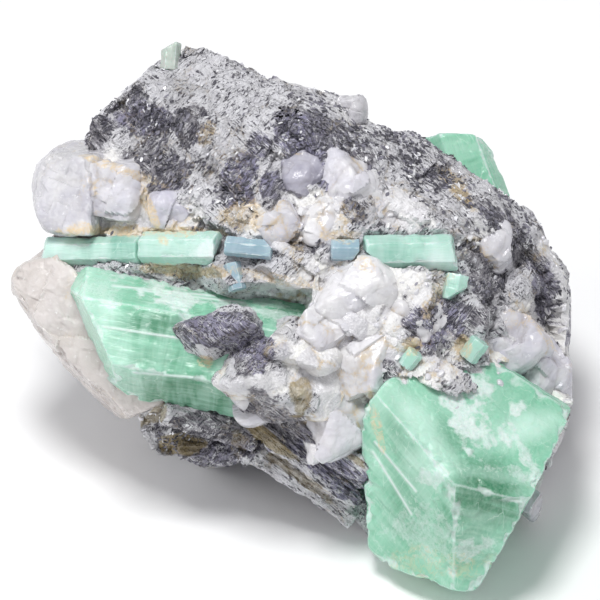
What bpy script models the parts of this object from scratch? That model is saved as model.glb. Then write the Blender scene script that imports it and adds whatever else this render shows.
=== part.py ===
"""Emerald in matrix: a hand specimen of mica schist and quartz with milky green beryl crystals.

Everything is modelled in the frame of the specimen's broad show face: X to the right, Y up the face and Z out
of it. An empty leans that frame back, so that the specimen lies on its flat broken underside at world Z = 0.
"""

import math

import bmesh
import bpy
import numpy as np
from mathutils import Matrix, Vector

MM = 0.001

# Pose: the elevation from which the show face is seen square on, and where its centre is: how high above
# the underside, and how far aside and back from the middle of the footprint.
FACE_ELEVATION = math.radians(40)
CENTRE_HEIGHT = 29.4 * MM
CENTRE_ASIDE = 0.65 * MM
CENTRE_BACK = 3.55 * MM

# Fit: free space between two pieces that grew against each other, and under one that reaches the underside.
GAP = 0.3 * MM
FOOT_CLEARANCE = 0.2 * MM

# Matrix: corners of its outline on the show face in millimetres, clockwise from the top left peak.
OUTLINE = [
    (-22, 47.6), (-15.5, 46), (-5, 42), (0.5, 40.5), (9.5, 37.5), (11.5, 34.5), (17.5, 32), (20.5, 32),
    (25.5, 28.5), (29, 27), (33, 23.5), (37.5, 21), (42, 18), (45, 11.5), (48, 7), (50, 1), (50, -2.5),
    (49, -6), (49, -16), (48, -21), (44.5, -27), (42.5, -31), (39.5, -35), (33, -39), (22, -40.5),
    (14, -40.5), (10.5, -36.5), (8.5, -32), (4, -28.5), (0.5, -26), (-3.5, -23), (-10, -26),
    (-16, -27.5), (-21, -25), (-25, -24), (-27.5, -20.5), (-28, -14), (-34, -6), (-40.5, 4),
    (-43.5, 9), (-43, 14.5), (-41.5, 20), (-40, 26), (-37.5, 31), (-34.5, 36.5), (-27, 43), (-23.5, 46.5),
]
FRONT_DEPTH = 26.5 * MM
BACK_DEPTH = 41 * MM
ROUNDNESS = 2.7

# Matrix: fineness of its starting ball, how its points crowd to the show side, and the share of faces kept.
BALL_SUBDIVISIONS = 5
SHOW_SIDE_DENSITY = 0.25
MATRIX_SHARE_KEPT = 0.55

# Matrix: least cosine between a direction and a fracture's normal at which the fracture still cuts it.
LEAST_FACING = 0.05

# Matrix: fracture planes as (outward normal in the face frame, distance from the centre).
FRACTURES = {
    "white_top": ((0.0, 0.80, 0.60), 38.0 * MM),
    "upper_face": ((-0.05, 0.33, 0.94), 27.1 * MM),
    "mica_crest": ((0.50, 0.62, 0.60), 35.4 * MM),
    "right_flank": ((0.62, 0.12, 0.775), 33.9 * MM),
    "left_flank": ((-0.447, 0.10, 0.889), 24.8 * MM),
    "keel": ((-0.35, -0.76, 0.55), 26.5 * MM),
    "lath_side": ((-0.20, -0.62, 0.76), 23.6 * MM),
    "back_top": ((-0.10, 0.78, -0.62), 39.0 * MM),
    "back_right": ((0.66, 0.30, -0.69), 40.0 * MM),
    "back_left": ((-0.60, 0.30, -0.74), 36.0 * MM),
    "back_middle": ((0.10, 0.42, -0.90), 37.0 * MM),
}

# Matrix: broken cells over its whole surface, held back to a share of their height on the rim of the outline.
CELL_COUNT = 120
CELL_RADIUS = 26 * MM
CELL_TILT = 0.30
CELL_LIFT = 0.8 * MM
CELL_SEED = 11
RIM_RELIEF = 0.3
RIM_FADE = 2

# Underside: side of the box that cuts the matrix flat.
UNDERSIDE_BOX = 160 * MM

# Quartz lumps fused in the matrix: centre on the face, height of the centre, half sizes, turn in the face.
QUARTZ_LUMPS = {
    "crest_glassy": ((9.5, 36.0, 9.0), (3.0, 2.6, 3.2), 20),
    "upper_pair_dark": ((2.0, 23.5, 20.0), (4.6, 5.0, 4.2), 10),
    "upper_pair_white": ((9.5, 22.0, 20.5), (5.4, 6.2, 4.6), -15),
    "upper_small": ((4.5, 16.5, 21.5), (5.0, 4.4, 4.0), 30),
    "upper_low": ((-3.0, 16.0, 21.5), (4.6, 5.0, 3.8), 0),
    "upper_left_pale": ((-21.0, 19.0, 15.0), (5.0, 4.0, 3.4), 10),
    "far_left_pale": ((-31.0, 21.5, 9.5), (6.0, 6.0, 4.4), -10),
    "crest_lilac": ((33.5, 13.0, 12.5), (4.4, 6.2, 4.4), 35),
    "right_block": ((39.5, 4.0, 9.0), (3.6, 6.4, 5.0), -20),
    "right_lilac_high": ((38.0, -5.0, 10.5), (7.0, 7.0, 5.2), 25),
    "right_lilac_low": ((43.5, -11.0, 4.5), (6.0, 7.0, 6.4), 10),
    "centre_north": ((11.0, 4.0, 24.0), (7.6, 5.6, 4.4), 20),
    "centre_east": ((19.0, 0.5, 21.5), (7.0, 7.0, 4.6), -25),
    "centre_west": ((4.5, -3.0, 25.0), (6.0, 5.0, 4.2), 5),
    "centre_south": ((12.0, -8.5, 22.5), (8.0, 6.6, 5.4), 40),
    "purple_right": ((27.0, -1.5, 17.5), (7.6, 6.0, 4.6), 15),
    "beside_crystal": ((7.5, -17.5, 19.5), (6.0, 7.4, 5.4), -20),
    "low_left": ((-6.0, -14.5, 18.0), (6.4, 4.8, 5.0), 10),
    "patch_on_crystal": ((-11.5, -4.6, 24.0), (10.5, 6.4, 5.6), 8),
    "patch_below": ((-3.5, -11.0, 22.0), (12.0, 8.0, 8.0), -20),
    "patch_east": ((1.0, -4.5, 24.5), (9.0, 6.4, 6.6), -12),
    "shelf_west": ((-9.5, 6.8, 17.2), (8.0, 4.4, 6.0), -8),
    "shelf_east": ((-0.5, 6.6, 19.2), (9.0, 6.6, 7.0), -8),
    "shelf_far_west": ((-21.0, 8.0, 13.0), (7.0, 3.0, 3.6), 0),
    "lower_right_knob": ((41.0, -32.5, 4.0), (3.2, 3.6, 4.4), 0),
    "back_upper": ((4.0, 26.0, -25.5), (8.0, 7.0, 6.0), 15),
    "back_upper_left": ((-17.0, 24.0, -21.0), (7.0, 6.0, 6.0), -25),
    "back_left": ((-30.0, 10.0, -18.0), (6.0, 8.0, 6.0), 10),
    "back_middle": ((-8.0, 9.0, -33.5), (9.0, 7.0, 5.0), 30),
    "back_right": ((21.0, 13.0, -28.0), (8.0, 7.0, 5.4), -10),
    "back_far_right": ((38.0, 2.0, -17.5), (6.0, 9.0, 6.0), 0),
    "back_low": ((10.0, -2.0, -38.0), (8.0, 6.0, 5.0), 20),
}
LUMP_FACETS = 9
LUMP_CHIP_DEPTHS = (0.66, 0.84)
LUMP_SEED = 5

# Schist laths along the lower edge: start and end of each, half width and half thickness.
LATHS = {
    "lath_outer": ((-9.5, -22.5, 9.0), (11.0, -35.5, 6.0), 2.2, 2.6),
    "lath_middle": ((-7.5, -18.0, 14.5), (12.0, -32.5, 11.0), 2.4, 2.8),
    "lath_inner": ((-1.0, -17.5, 18.5), (13.0, -28.0, 16.5), 2.6, 3.0),
    "keel_ledge": ((-23.0, -17.0, 12.5), (-7.0, -21.0, 12.0), 2.4, 3.0),
    "keel_fin": ((-20.0, -24.0, 3.0), (-8.0, -24.0, 4.5), 1.8, 4.0),
}

# Laths: where along the half length and half width they are bevelled, and the directions of the two bevels.
LATH_END_AT = 0.80
LATH_EDGE_AT = 0.60
LATH_END_BEVEL = (0.7, 0.7, 0.15)
LATH_EDGE_BEVEL = (0.04, 0.75, 0.6)

# Pits: centre, half sizes and turn in the face.
PITS = {
    "slit_upper_left": ((-22.5, 23.5, 19.0), (2.8, 0.7, 3.0), 35),
    "hole_ridge": ((-7.0, 37.0, 14.5), (1.2, 0.9, 2.2), 0),
    "gap_crest": ((32.0, 10.5, 19.0), (4.2, 1.3, 5.0), -25),
    "hole_centre": ((30.5, -2.8, 23.5), (1.7, 1.6, 4.0), 10),
    "sliver_left": ((-23.2, 18.0, 19.0), (0.9, 2.6, 2.6), 12),
}

# Hollow in front of the left crystal's upper side: its length along the crystal and its depth off that side.
HOLLOW_ENDS = ((0.0, -9.0, 15.9), (-42.0, -1.6, 12.0))
HOLLOW_DEPTH = 12 * MM

# Side of the cube that a block is cut from, well over the size of any block.
BLOCK_BLANK = 200 * MM

# Worn edges: a prism's bevel as a share of its width, its most, its segments and the least edge angle.
PRISM_WEAR_SHARE = 0.05
PRISM_WEAR_MOST = 0.5
WEAR_SEGMENTS = 2
WEAR_LEAST_ANGLE = math.radians(15)

# Beryl prisms: the two ends of the axis, distance across the corners, flattening, turn about the axis, and
# the broken faces that cut them, each as (outward normal, point), all in the face frame and millimetres.
PRISMS = {
    "emerald_left": {
        "ends": ((6.0, -10.0, 16.5), (-42.0, -1.6, 12.0)), "across": 22.0, "flat": 1.0, "turn": 0,
        "breaks": [
            ((-0.90, -0.40, 0.16), (-36.6, -2.4, 14.0)), ((-0.74, 0.60, 0.30), (-37.0, 7.4, 14.0)),
            ((0.80, 0.56, -0.20), (4.0, 0.0, 14.0)), ((-0.62, -0.78, 0.05), (-30.0, -14.0, 12.0)),
            ((0.70, -0.70, 0.10), (-7.0, -15.5, 14.0)),
        ],
        "colour": (0.32, 0.78, 0.55),
    },
    "emerald_row_left": {
        "ends": ((-45.0, 10.9, 4.6), (-27.2, 11.2, 13.5)), "across": 5.5, "flat": 0.9, "turn": 0,
        "breaks": [((-0.95, 0.25, 0.1), (-44.6, 11.0, 4.6))], "colour": (0.36, 0.76, 0.60),
    },
    "emerald_row_middle": {
        "ends": ((-26.7, 11.6, 13.9), (-13.2, 11.6, 20.2)), "across": 6.2, "flat": 0.9, "turn": 0,
        "breaks": [((0.93, -0.36, 0.0), (-14.0, 10.0, 22.0))], "colour": (0.50, 0.80, 0.72),
    },
    "beryl_blue_west": {
        "ends": ((-12.2, 12.0, 23.0), (-4.0, 11.2, 24.4)), "across": 3.7, "flat": 0.9, "turn": 10,
        "breaks": [((0.75, 0.65, 0.0), (-4.6, 12.2, 24.0))], "colour": (0.38, 0.60, 0.68),
    },
    "beryl_teal_stub": {
        "ends": ((-11.2, 8.9, 21.6), (-10.0, 4.2, 22.4)), "across": 3.4, "flat": 0.9, "turn": 0,
        "breaks": [], "colour": (0.24, 0.46, 0.46),
    },
    "beryl_blue_east": {
        "ends": ((6.2, 11.2, 24.6), (11.2, 11.2, 24.2)), "across": 4.2, "flat": 0.9, "turn": 20,
        "breaks": [((0.8, -0.6, 0.0), (10.4, 9.8, 24.0))], "colour": (0.42, 0.62, 0.70),
    },
    "emerald_row_right": {
        "ends": ((12.0, 10.6, 23.6), (28.6, 10.9, 20.4)), "across": 6.8, "flat": 0.9, "turn": 0,
        "breaks": [((-0.62, -0.78, 0.0), (14.6, 9.2, 24.0)), ((0.95, 0.2, 0.2), (28.2, 11.0, 21.0))],
        "colour": (0.34, 0.74, 0.56),
    },
    "emerald_row_stub": {
        "ends": ((28.4, 6.9, 20.6), (27.6, 2.4, 21.2)), "across": 4.6, "flat": 0.9, "turn": 15,
        "breaks": [((0.5, -0.8, 0.2), (28.8, 3.6, 21.0))], "colour": (0.52, 0.80, 0.74),
    },
    "emerald_back": {
        "ends": ((34.2, 14.0, -6.5), (26.2, 36.0, -8.5)), "across": 12.6, "flat": 1.0, "turn": 12,
        "breaks": [((0.0, 0.98, -0.2), (29.0, 31.4, -6.0)), ((0.75, 0.66, 0.0), (33.6, 30.6, -6.0))],
        "colour": (0.36, 0.74, 0.54),
    },
    "emerald_chip_left": {
        "ends": ((19.3, -9.0, 25.6), (21.2, -6.6, 26.6)), "across": 3.2, "flat": 0.9, "turn": 0,
        "breaks": [], "colour": (0.44, 0.78, 0.62),
    },
    "emerald_chip_right": {
        "ends": ((30.2, -7.8, 20.6), (32.6, -4.6, 21.4)), "across": 3.8, "flat": 0.9, "turn": 0,
        "breaks": [], "colour": (0.50, 0.80, 0.72),
    },
    "emerald_tip_top": {
        "ends": ((-22.2, 43.0, 1.8), (-21.8, 48.0, 1.0)), "across": 3.6, "flat": 1.0, "turn": 0,
        "breaks": [((-0.5, 0.86, 0.0), (-22.8, 47.2, 0.0))], "colour": (0.56, 0.80, 0.64),
    },
}

# Blocks bounded by unlike faces: each face as (outward normal, point on it), and the width of the worn edges.
BLOCKS = {
    "emerald_lower_right": {
        "faces": [
            ((-0.639, -0.385, 0.666), (27.8, -29.7, 34.0)), ((0.112, -0.498, 0.861), (27.8, -29.7, 34.0)),
            ((0.337, 0.500, 0.798), (27.8, -29.7, 34.0)), ((0.88, -0.474, -0.05), (48.1, -18.0, 14.0)),
            ((-0.99, 0.0, -0.10), (12.6, -33.0, 14.0)), ((-0.20, -0.96, -0.18), (24.0, -47.2, 20.0)),
            ((-0.72, -0.69, -0.05), (14.0, -42.4, 12.0)), ((0.55, 0.83, 0.05), (45.0, -14.4, 14.0)),
            ((-0.20, 0.97, -0.10), (22.0, -11.4, 14.0)), ((-0.75, 0.66, 0.0), (15.2, -12.6, 20.0)),
            ((0.10, 0.35, -0.93), (28.0, -28.0, -2.0)), ((0.55, -0.83, 0.05), (35.2, -46.4, 14.0)),
        ],
        "worn": 0.7, "colour": (0.34, 0.78, 0.56), "rough": 0.30,
    },
    "quartz_lower_left": {
        "faces": [
            ((-0.40, 0.91, 0.10), (-47.1, 9.0, 5.0)), ((-0.87, 0.48, 0.10), (-49.6, 7.0, 5.0)),
            ((-0.88, -0.47, 0.10), (-49.6, 4.6, 5.0)), ((-0.75, -0.65, 0.08), (-43.0, -5.2, 5.0)),
            ((-0.66, -0.75, 0.10), (-34.9, -13.6, 5.0)), ((0.45, -0.89, 0.0), (-29.6, -18.4, 5.0)),
            ((-0.42, 0.10, 0.90), (-43.4, 2.0, 9.6)),
            ((-0.30, -0.30, 0.90), (-36.0, -10.0, 9.6)), ((0.80, 0.60, 0.0), (-23.4, -13.0, 6.0)),
            ((-0.20, -0.30, -0.93), (-38.0, -6.0, -12.0)), ((-0.70, 0.0, -0.70), (-47.4, 2.0, -3.0)),
        ],
        "worn": 1.4, "colour": (0.62, 0.58, 0.55), "rough": 0.22,
    },
    "quartz_upper_left": {
        "faces": [
            ((-0.98, 0.10, 0.15), (-45.6, 22.0, 4.0)), ((-0.66, 0.74, 0.10), (-43.8, 27.8, 4.0)),
            ((-0.05, 0.98, 0.18), (-40.0, 28.8, 4.0)), ((-0.92, -0.38, 0.05), (-45.0, 17.0, 4.0)),
            ((-0.10, -0.99, 0.0), (-42.0, 14.6, 4.0)), ((-0.52, 0.16, 0.84), (-42.0, 22.0, 9.4)),
            ((0.35, 0.30, 0.88), (-36.6, 23.0, 12.6)), ((0.95, 0.0, 0.30), (-33.6, 22.0, 6.0)),
            ((0.20, 0.10, -0.97), (-40.0, 22.0, -9.0)), ((-0.72, 0.20, -0.66), (-44.2, 22.0, -5.0)),
        ],
        "worn": 1.2, "colour": (0.80, 0.79, 0.83), "rough": 0.28,
    },
}

# Finishes.
SCHIST_COLOUR = (0.42, 0.40, 0.45)
SCHIST_ROUGHNESS = 0.6
BERYL_ROUGHNESS = 0.3


def unit(vector):
    return Vector(vector).normalized()


def clear_scene():
    for obj in list(bpy.data.objects):
        bpy.data.objects.remove(obj, do_unlink=True)


def new_collection(name):
    collection = bpy.data.collections.new(name)
    bpy.context.scene.collection.children.link(collection)
    return collection


def new_material(name, colour, roughness):
    material = bpy.data.materials.new(name)
    material.use_nodes = True
    shader = material.node_tree.nodes["Principled BSDF"]
    shader.inputs["Base Color"].default_value = (*colour, 1.0)
    shader.inputs["Roughness"].default_value = roughness
    shader.inputs["Metallic"].default_value = 0.0
    return material


def add_object(name, mesh, collection, pose):
    obj = bpy.data.objects.new(name, mesh)
    collection.objects.link(obj)
    obj.parent = pose
    return obj


def hide_as_cutter(obj):
    obj.hide_render = True
    obj.display_type = "WIRE"


def mesh_from(bm, name):
    mesh = bpy.data.meshes.new(name)
    bmesh.ops.recalc_face_normals(bm, faces=bm.faces)
    bm.to_mesh(mesh)
    bm.free()
    return mesh


def cut_off(bm, point, normal):
    """Cuts away what lies beyond a plane and closes the cut."""
    everything = list(bm.verts) + list(bm.edges) + list(bm.faces)
    cut = bmesh.ops.bisect_plane(
        bm, geom=everything, plane_co=point, plane_no=normal, clear_outer=True, dist=1e-7
    )
    rim = [part for part in cut["geom_cut"] if isinstance(part, bmesh.types.BMEdge)]
    if rim:
        bmesh.ops.holes_fill(bm, edges=rim, sides=0)


def outline_radius(angle):
    """Distance from the centre to the outline at an angle, straight between its corners."""
    corners = np.array(OUTLINE) * MM
    bearing = np.arctan2(corners[:, 1], corners[:, 0])
    order = np.argsort(bearing)
    reach = np.hypot(corners[:, 0], corners[:, 1])[order]
    return np.interp(angle, bearing[order], reach, period=2 * math.pi)


def matrix_body(directions):
    """Points of the rounded body that fills the outline, cut back to the fracture planes."""
    reach = outline_radius(np.arctan2(directions[:, 1], directions[:, 0]))
    sideways = np.hypot(directions[:, 0], directions[:, 1]) / reach
    depthways = abs(directions[:, 2]) / np.where(directions[:, 2] > 0, FRONT_DEPTH, BACK_DEPTH)
    radius = (sideways ** ROUNDNESS + depthways ** ROUNDNESS) ** (-1 / ROUNDNESS)
    for normal, distance in FRACTURES.values():
        facing = directions @ np.array(unit(normal))
        to_plane = distance / np.maximum(facing, LEAST_FACING)
        radius = np.where(facing > LEAST_FACING, np.minimum(radius, to_plane), radius)
    return directions * radius[:, None]


def broken_cells(points, generator):
    """Height of the broken surface: at each point the highest of many tilted domes, one for each cell."""
    heading = generator.normal(size=(CELL_COUNT, 3))
    seeds = matrix_body(heading / np.linalg.norm(heading, axis=1)[:, None])
    lift = generator.uniform(-CELL_LIFT, CELL_LIFT, CELL_COUNT)
    tilt = generator.uniform(-CELL_TILT, CELL_TILT, (CELL_COUNT, 3))
    away = points[:, None, :] - seeds[None, :, :]
    dome = lift + (away * tilt).sum(axis=2) - (away ** 2).sum(axis=2) / (2 * CELL_RADIUS)
    return dome.max(axis=1)


def matrix_mesh():
    """The matrix: a ball moved vertex by vertex on to the fractured body and then on to its broken cells."""
    bm = bmesh.new()
    bmesh.ops.create_icosphere(bm, subdivisions=BALL_SUBDIVISIONS, radius=1.0)
    directions = np.array([vertex.co for vertex in bm.verts])
    directions[:, 2] += SHOW_SIDE_DENSITY
    directions /= np.linalg.norm(directions, axis=1)[:, None]
    body = matrix_body(directions)
    for vertex, place in zip(bm.verts, body):
        vertex.co = place
    bm.normal_update()
    outward = np.array([vertex.normal for vertex in bm.verts])
    height = broken_cells(body, np.random.default_rng(CELL_SEED))
    relief = np.clip(RIM_FADE * abs(outward[:, 2:3]), RIM_RELIEF, 1.0)
    moved = body + outward * (height - np.median(height))[:, None] * relief
    for vertex, place in zip(bm.verts, moved):
        vertex.co = place
    return mesh_from(bm, "matrix")


def lump_mesh(name, half_sizes, generator):
    """A quartz lump: a ball chipped by planes at random bearings, then stretched to its half sizes."""
    bm = bmesh.new()
    bmesh.ops.create_icosphere(bm, subdivisions=1, radius=1.0)
    for _ in range(LUMP_FACETS):
        normal = unit(generator.normal(size=3))
        cut_off(bm, normal * generator.uniform(*LUMP_CHIP_DEPTHS), normal)
    bmesh.ops.scale(bm, vec=Vector(half_sizes) * MM, verts=bm.verts)
    return mesh_from(bm, name)


def add_lumps(table, prefix, collection, pose):
    generator = np.random.default_rng(LUMP_SEED)
    for name, (centre, half_sizes, turn) in table.items():
        lump = add_object(prefix + name, lump_mesh(name, half_sizes, generator), collection, pose)
        lump.location = Vector(centre) * MM
        lump.rotation_euler = (0, 0, math.radians(turn))
        hide_as_cutter(lump)


def add_laths(collection, pose):
    """Schist laths: long boxes between two points, bevelled off at both ends and along both upper edges."""
    for name, (start, end, half_width, half_thick) in LATHS.items():
        along = (Vector(end) - Vector(start)) * MM
        bm = bmesh.new()
        bmesh.ops.create_cube(bm, size=1.0)
        size = Vector((along.length, 2 * half_width * MM, 2 * half_thick * MM))
        bmesh.ops.scale(bm, vec=size, verts=bm.verts)
        for side in (-1, 1):
            x, y, z = LATH_END_BEVEL
            corner = Vector((side * LATH_END_AT * size.x / 2, size.y / 2, 0))
            cut_off(bm, corner, unit((side * x, y, side * z)))
            x, y, z = LATH_EDGE_BEVEL
            edge = Vector((0, side * LATH_EDGE_AT * size.y / 2, size.z / 2))
            cut_off(bm, edge, unit((x, side * y, z)))
        lath = add_object("lath_" + name, mesh_from(bm, name), collection, pose)
        lath.location = (Vector(start) + Vector(end)) * 0.5 * MM
        lath.rotation_mode = "QUATERNION"
        lath.rotation_quaternion = frame_along(along).to_quaternion()
        hide_as_cutter(lath)


def frame_along(axis):
    """Rotation that takes local X along an axis and keeps local Z as near to the face's Z as it can."""
    x = axis.normalized()
    y = Vector((0, 0, 1)).cross(x).normalized()
    return Matrix((x, y, x.cross(y))).transposed()


def prism_mesh(name, spec, grow):
    """A beryl prism with its axis along local X: a six sided cylinder with broken ends, larger by grow."""
    start, end = (Vector(point) * MM for point in spec["ends"])
    axis = end - start
    radius = spec["across"] * MM / 2 + grow * 2 / math.sqrt(3)
    bm = bmesh.new()
    bmesh.ops.create_cone(
        bm, cap_ends=True, segments=6, radius1=radius, radius2=radius, depth=axis.length + 2 * grow
    )
    about = Matrix.Rotation(math.radians(spec["turn"]), 4, "Z")
    tip_over = Matrix.Rotation(math.radians(90), 4, "Y")
    flatten = Matrix.Diagonal((1, 1, spec["flat"], 1))
    bmesh.ops.transform(bm, matrix=flatten @ tip_over @ about, verts=bm.verts)
    turn = frame_along(axis)
    middle = (start + end) * 0.5
    for normal, point in spec["breaks"]:
        outward = turn.transposed() @ unit(normal)
        cut_off(bm, turn.transposed() @ (Vector(point) * MM - middle) + outward * grow, outward)
    return mesh_from(bm, name), middle, turn.to_quaternion()


def add_prism(name, spec, collection, pose, grow=0.0):
    mesh, middle, turn = prism_mesh(name, spec, grow)
    prism = add_object(name, mesh, collection, pose)
    prism.location = middle
    prism.rotation_mode = "QUATERNION"
    prism.rotation_quaternion = turn
    return prism


def block_mesh(name, spec, centre, grow):
    """A block: a cube cut down to its faces, each moved out by grow."""
    bm = bmesh.new()
    bmesh.ops.create_cube(bm, size=BLOCK_BLANK)
    for normal, point in spec["faces"]:
        outward = unit(normal)
        cut_off(bm, Vector(point) * MM - centre + outward * grow, outward)
    down = Vector((0, -math.cos(FACE_ELEVATION), -math.sin(FACE_ELEVATION)))
    cut_off(bm, down * (CENTRE_HEIGHT - FOOT_CLEARANCE + grow) - centre, down)
    return mesh_from(bm, name)


def add_block(name, spec, collection, pose, grow=0.0):
    centre = sum((Vector(point) for _, point in spec["faces"]), Vector()) * MM / len(spec["faces"])
    block = add_object(name, block_mesh(name, spec, centre, grow), collection, pose)
    block.location = centre
    return block


def wear_edges(obj, width):
    bevel = obj.modifiers.new("worn_edges", "BEVEL")
    bevel.width = width * MM
    bevel.segments = WEAR_SEGMENTS
    bevel.limit_method = "ANGLE"
    bevel.angle_limit = WEAR_LEAST_ANGLE


def add_hollow(collection, pose):
    """The hollow that bares the upper side of the left crystal: a box that stands on that side."""
    start, end = (Vector(point) * MM for point in HOLLOW_ENDS)
    side = PRISMS["emerald_left"]["across"] * MM / 2
    off_side = side * math.sqrt(3) / 2 + GAP
    bm = bmesh.new()
    bmesh.ops.create_cube(bm, size=1.0)
    size = Vector(((end - start).length, side, HOLLOW_DEPTH))
    bmesh.ops.scale(bm, vec=size, verts=bm.verts)
    bmesh.ops.translate(bm, vec=Vector((0, 0, off_side + HOLLOW_DEPTH / 2)), verts=bm.verts)
    on_to_side = Matrix.Rotation(math.radians(60), 3, "X")
    bmesh.ops.rotate(bm, matrix=on_to_side, verts=bm.verts)
    hollow = add_object("hollow_over_crystal", mesh_from(bm, "hollow_over_crystal"), collection, pose)
    hollow.location = (start + end) * 0.5
    hollow.rotation_mode = "QUATERNION"
    hollow.rotation_quaternion = frame_along(end - start).to_quaternion()
    hide_as_cutter(hollow)


def add_underside(collection, pose):
    """The box below the specimen, whose top is the flat break that it lies on."""
    bm = bmesh.new()
    bmesh.ops.create_cube(bm, size=UNDERSIDE_BOX)
    box = add_object("below_underside", mesh_from(bm, "below_underside"), collection, pose)
    box.location = Vector((0, -math.cos(FACE_ELEVATION), -math.sin(FACE_ELEVATION))) * (
        CENTRE_HEIGHT + UNDERSIDE_BOX / 2
    )
    box.rotation_euler = (FACE_ELEVATION - math.pi / 2, 0, 0)
    hide_as_cutter(box)


def simplify(obj):
    fewer = obj.modifiers.new("fewer_faces", "DECIMATE")
    fewer.ratio = MATRIX_SHARE_KEPT


def combine(obj, operation, collection):
    cut = obj.modifiers.new(operation.lower() + "_" + collection.name, "BOOLEAN")
    cut.operation = operation
    cut.operand_type = "COLLECTION"
    cut.collection = collection
    cut.solver = "EXACT"


def main():
    clear_scene()
    specimen = new_collection("emerald_in_matrix")
    fused = new_collection("fused_lumps")
    hollows = new_collection("hollows")
    pits = new_collection("pits")
    pockets = new_collection("crystal_pockets")
    seats = new_collection("quartz_seats")
    pose = bpy.data.objects.new("show_face", None)
    specimen.objects.link(pose)
    pose.rotation_euler = (math.pi / 2 - FACE_ELEVATION, 0, 0)
    pose.location = (CENTRE_ASIDE, CENTRE_BACK, CENTRE_HEIGHT)

    matrix = add_object("matrix", matrix_mesh(), specimen, pose)
    matrix.data.materials.append(new_material("schist", SCHIST_COLOUR, SCHIST_ROUGHNESS))
    add_lumps(QUARTZ_LUMPS, "lump_", fused, pose)
    add_laths(fused, pose)
    add_lumps(PITS, "pit_", pits, pose)
    add_hollow(hollows, pose)
    add_underside(pits, pose)
    simplify(matrix)

    for name, spec in PRISMS.items():
        prism = add_prism(name, spec, specimen, pose)
        prism.data.materials.append(new_material(name, spec["colour"], BERYL_ROUGHNESS))
        wear_edges(prism, min(PRISM_WEAR_MOST, spec["across"] * PRISM_WEAR_SHARE))
        hide_as_cutter(add_prism("pocket_" + name, spec, pockets, pose, grow=GAP))
    for name, spec in BLOCKS.items():
        block = add_block(name, spec, specimen, pose)
        block.data.materials.append(new_material(name, spec["colour"], spec["rough"]))
        wear_edges(block, spec["worn"])
        grown_into = pockets if name.startswith("emerald") else seats
        hide_as_cutter(add_block("pocket_" + name, spec, grown_into, pose, grow=GAP))
        if grown_into is seats:
            combine(block, "DIFFERENCE", pockets)

    combine(matrix, "DIFFERENCE", hollows)
    combine(matrix, "UNION", fused)
    combine(matrix, "DIFFERENCE", pits)
    combine(matrix, "DIFFERENCE", seats)
    combine(matrix, "DIFFERENCE", pockets)


main()
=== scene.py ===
import itertools
import math

import bpy
import numpy as np
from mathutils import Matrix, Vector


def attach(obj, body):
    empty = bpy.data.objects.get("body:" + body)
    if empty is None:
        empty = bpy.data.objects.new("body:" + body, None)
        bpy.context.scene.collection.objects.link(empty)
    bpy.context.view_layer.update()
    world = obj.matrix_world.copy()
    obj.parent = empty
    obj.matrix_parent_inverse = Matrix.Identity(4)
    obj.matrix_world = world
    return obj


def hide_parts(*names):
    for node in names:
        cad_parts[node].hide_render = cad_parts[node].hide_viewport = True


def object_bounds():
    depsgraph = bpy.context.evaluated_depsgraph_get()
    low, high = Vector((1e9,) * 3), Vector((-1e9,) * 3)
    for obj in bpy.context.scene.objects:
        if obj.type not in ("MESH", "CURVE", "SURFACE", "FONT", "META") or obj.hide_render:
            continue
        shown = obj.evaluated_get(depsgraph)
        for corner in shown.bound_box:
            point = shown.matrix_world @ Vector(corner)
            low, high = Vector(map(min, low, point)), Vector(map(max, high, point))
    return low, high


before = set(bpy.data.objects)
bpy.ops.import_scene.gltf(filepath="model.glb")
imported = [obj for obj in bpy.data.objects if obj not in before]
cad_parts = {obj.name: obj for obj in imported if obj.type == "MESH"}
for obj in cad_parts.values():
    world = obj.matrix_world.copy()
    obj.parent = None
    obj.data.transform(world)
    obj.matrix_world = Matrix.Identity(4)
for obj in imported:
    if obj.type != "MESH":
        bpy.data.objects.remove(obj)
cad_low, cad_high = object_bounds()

# The show face, as in the part's source: X right, Y up the face, Z out of it, in millimetres. It is seen
# square on from this elevation. Its centre lies here in the row frame, and every piece stays inside the
# solid's box.
MM = 0.001
ELEVATION = math.radians(40)
CENTRE = np.array((0.65, 3.55, 29.4))
INSIDE_BOX = 0.02

# Camera: its lens, and what the middle and the width of the picture are on the face.
CAMERA_LENS = 800
CAMERA_SENSOR = 36
PICTURE_MIDDLE = (0.885, 2.478, 0)
PICTURE_WIDTH = 106.2

# Lights: azimuth from the camera's side and elevation in degrees, then distance, size and power. Then the
# sky's strength, half the floor's width, and how far the floor lies under the rock.
LIGHTS = {
    "overhead": (-35, 78, 0.9, 0.25, 5.8), "side_fill": (-80, 30, 1, 0.35, 1.6),
    "front_fill": (30, 30, 1.1, 0.8, 0.8),
}
SKY_STRENGTH = 0.4
FLOOR_HALF = 3
FLOOR_DROP = 0.0001

# Block of rock, from the part's source: outline on the face, depths, and the fractures' normals and
# distances.
OUTLINE = np.array([
    (-22, 47.6), (-15.5, 46), (-5, 42), (0.5, 40.5), (9.5, 37.5), (11.5, 34.5), (17.5, 32), (20.5, 32),
    (25.5, 28.5), (29, 27), (33, 23.5), (37.5, 21), (42, 18), (45, 11.5), (48, 7), (50, 1), (50, -2.5),
    (49, -6), (49, -16), (48, -21), (44.5, -27), (42.5, -31), (39.5, -35), (33, -39), (22, -40.5),
    (14, -40.5), (10.5, -36.5), (8.5, -32), (4, -28.5), (0.5, -26), (-3.5, -23), (-10, -26),
    (-16, -27.5), (-21, -25), (-25, -24), (-27.5, -20.5), (-28, -14), (-34, -6), (-40.5, 4), (-43.5, 9),
    (-43, 14.5), (-41.5, 20), (-40, 26), (-37.5, 31), (-34.5, 36.5), (-27, 43), (-23.5, 46.5),
])
FRONT_DEPTH = 26.5
BACK_DEPTH = 41
ROUNDNESS = 2.7
LEAST_FACING = 0.05
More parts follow.
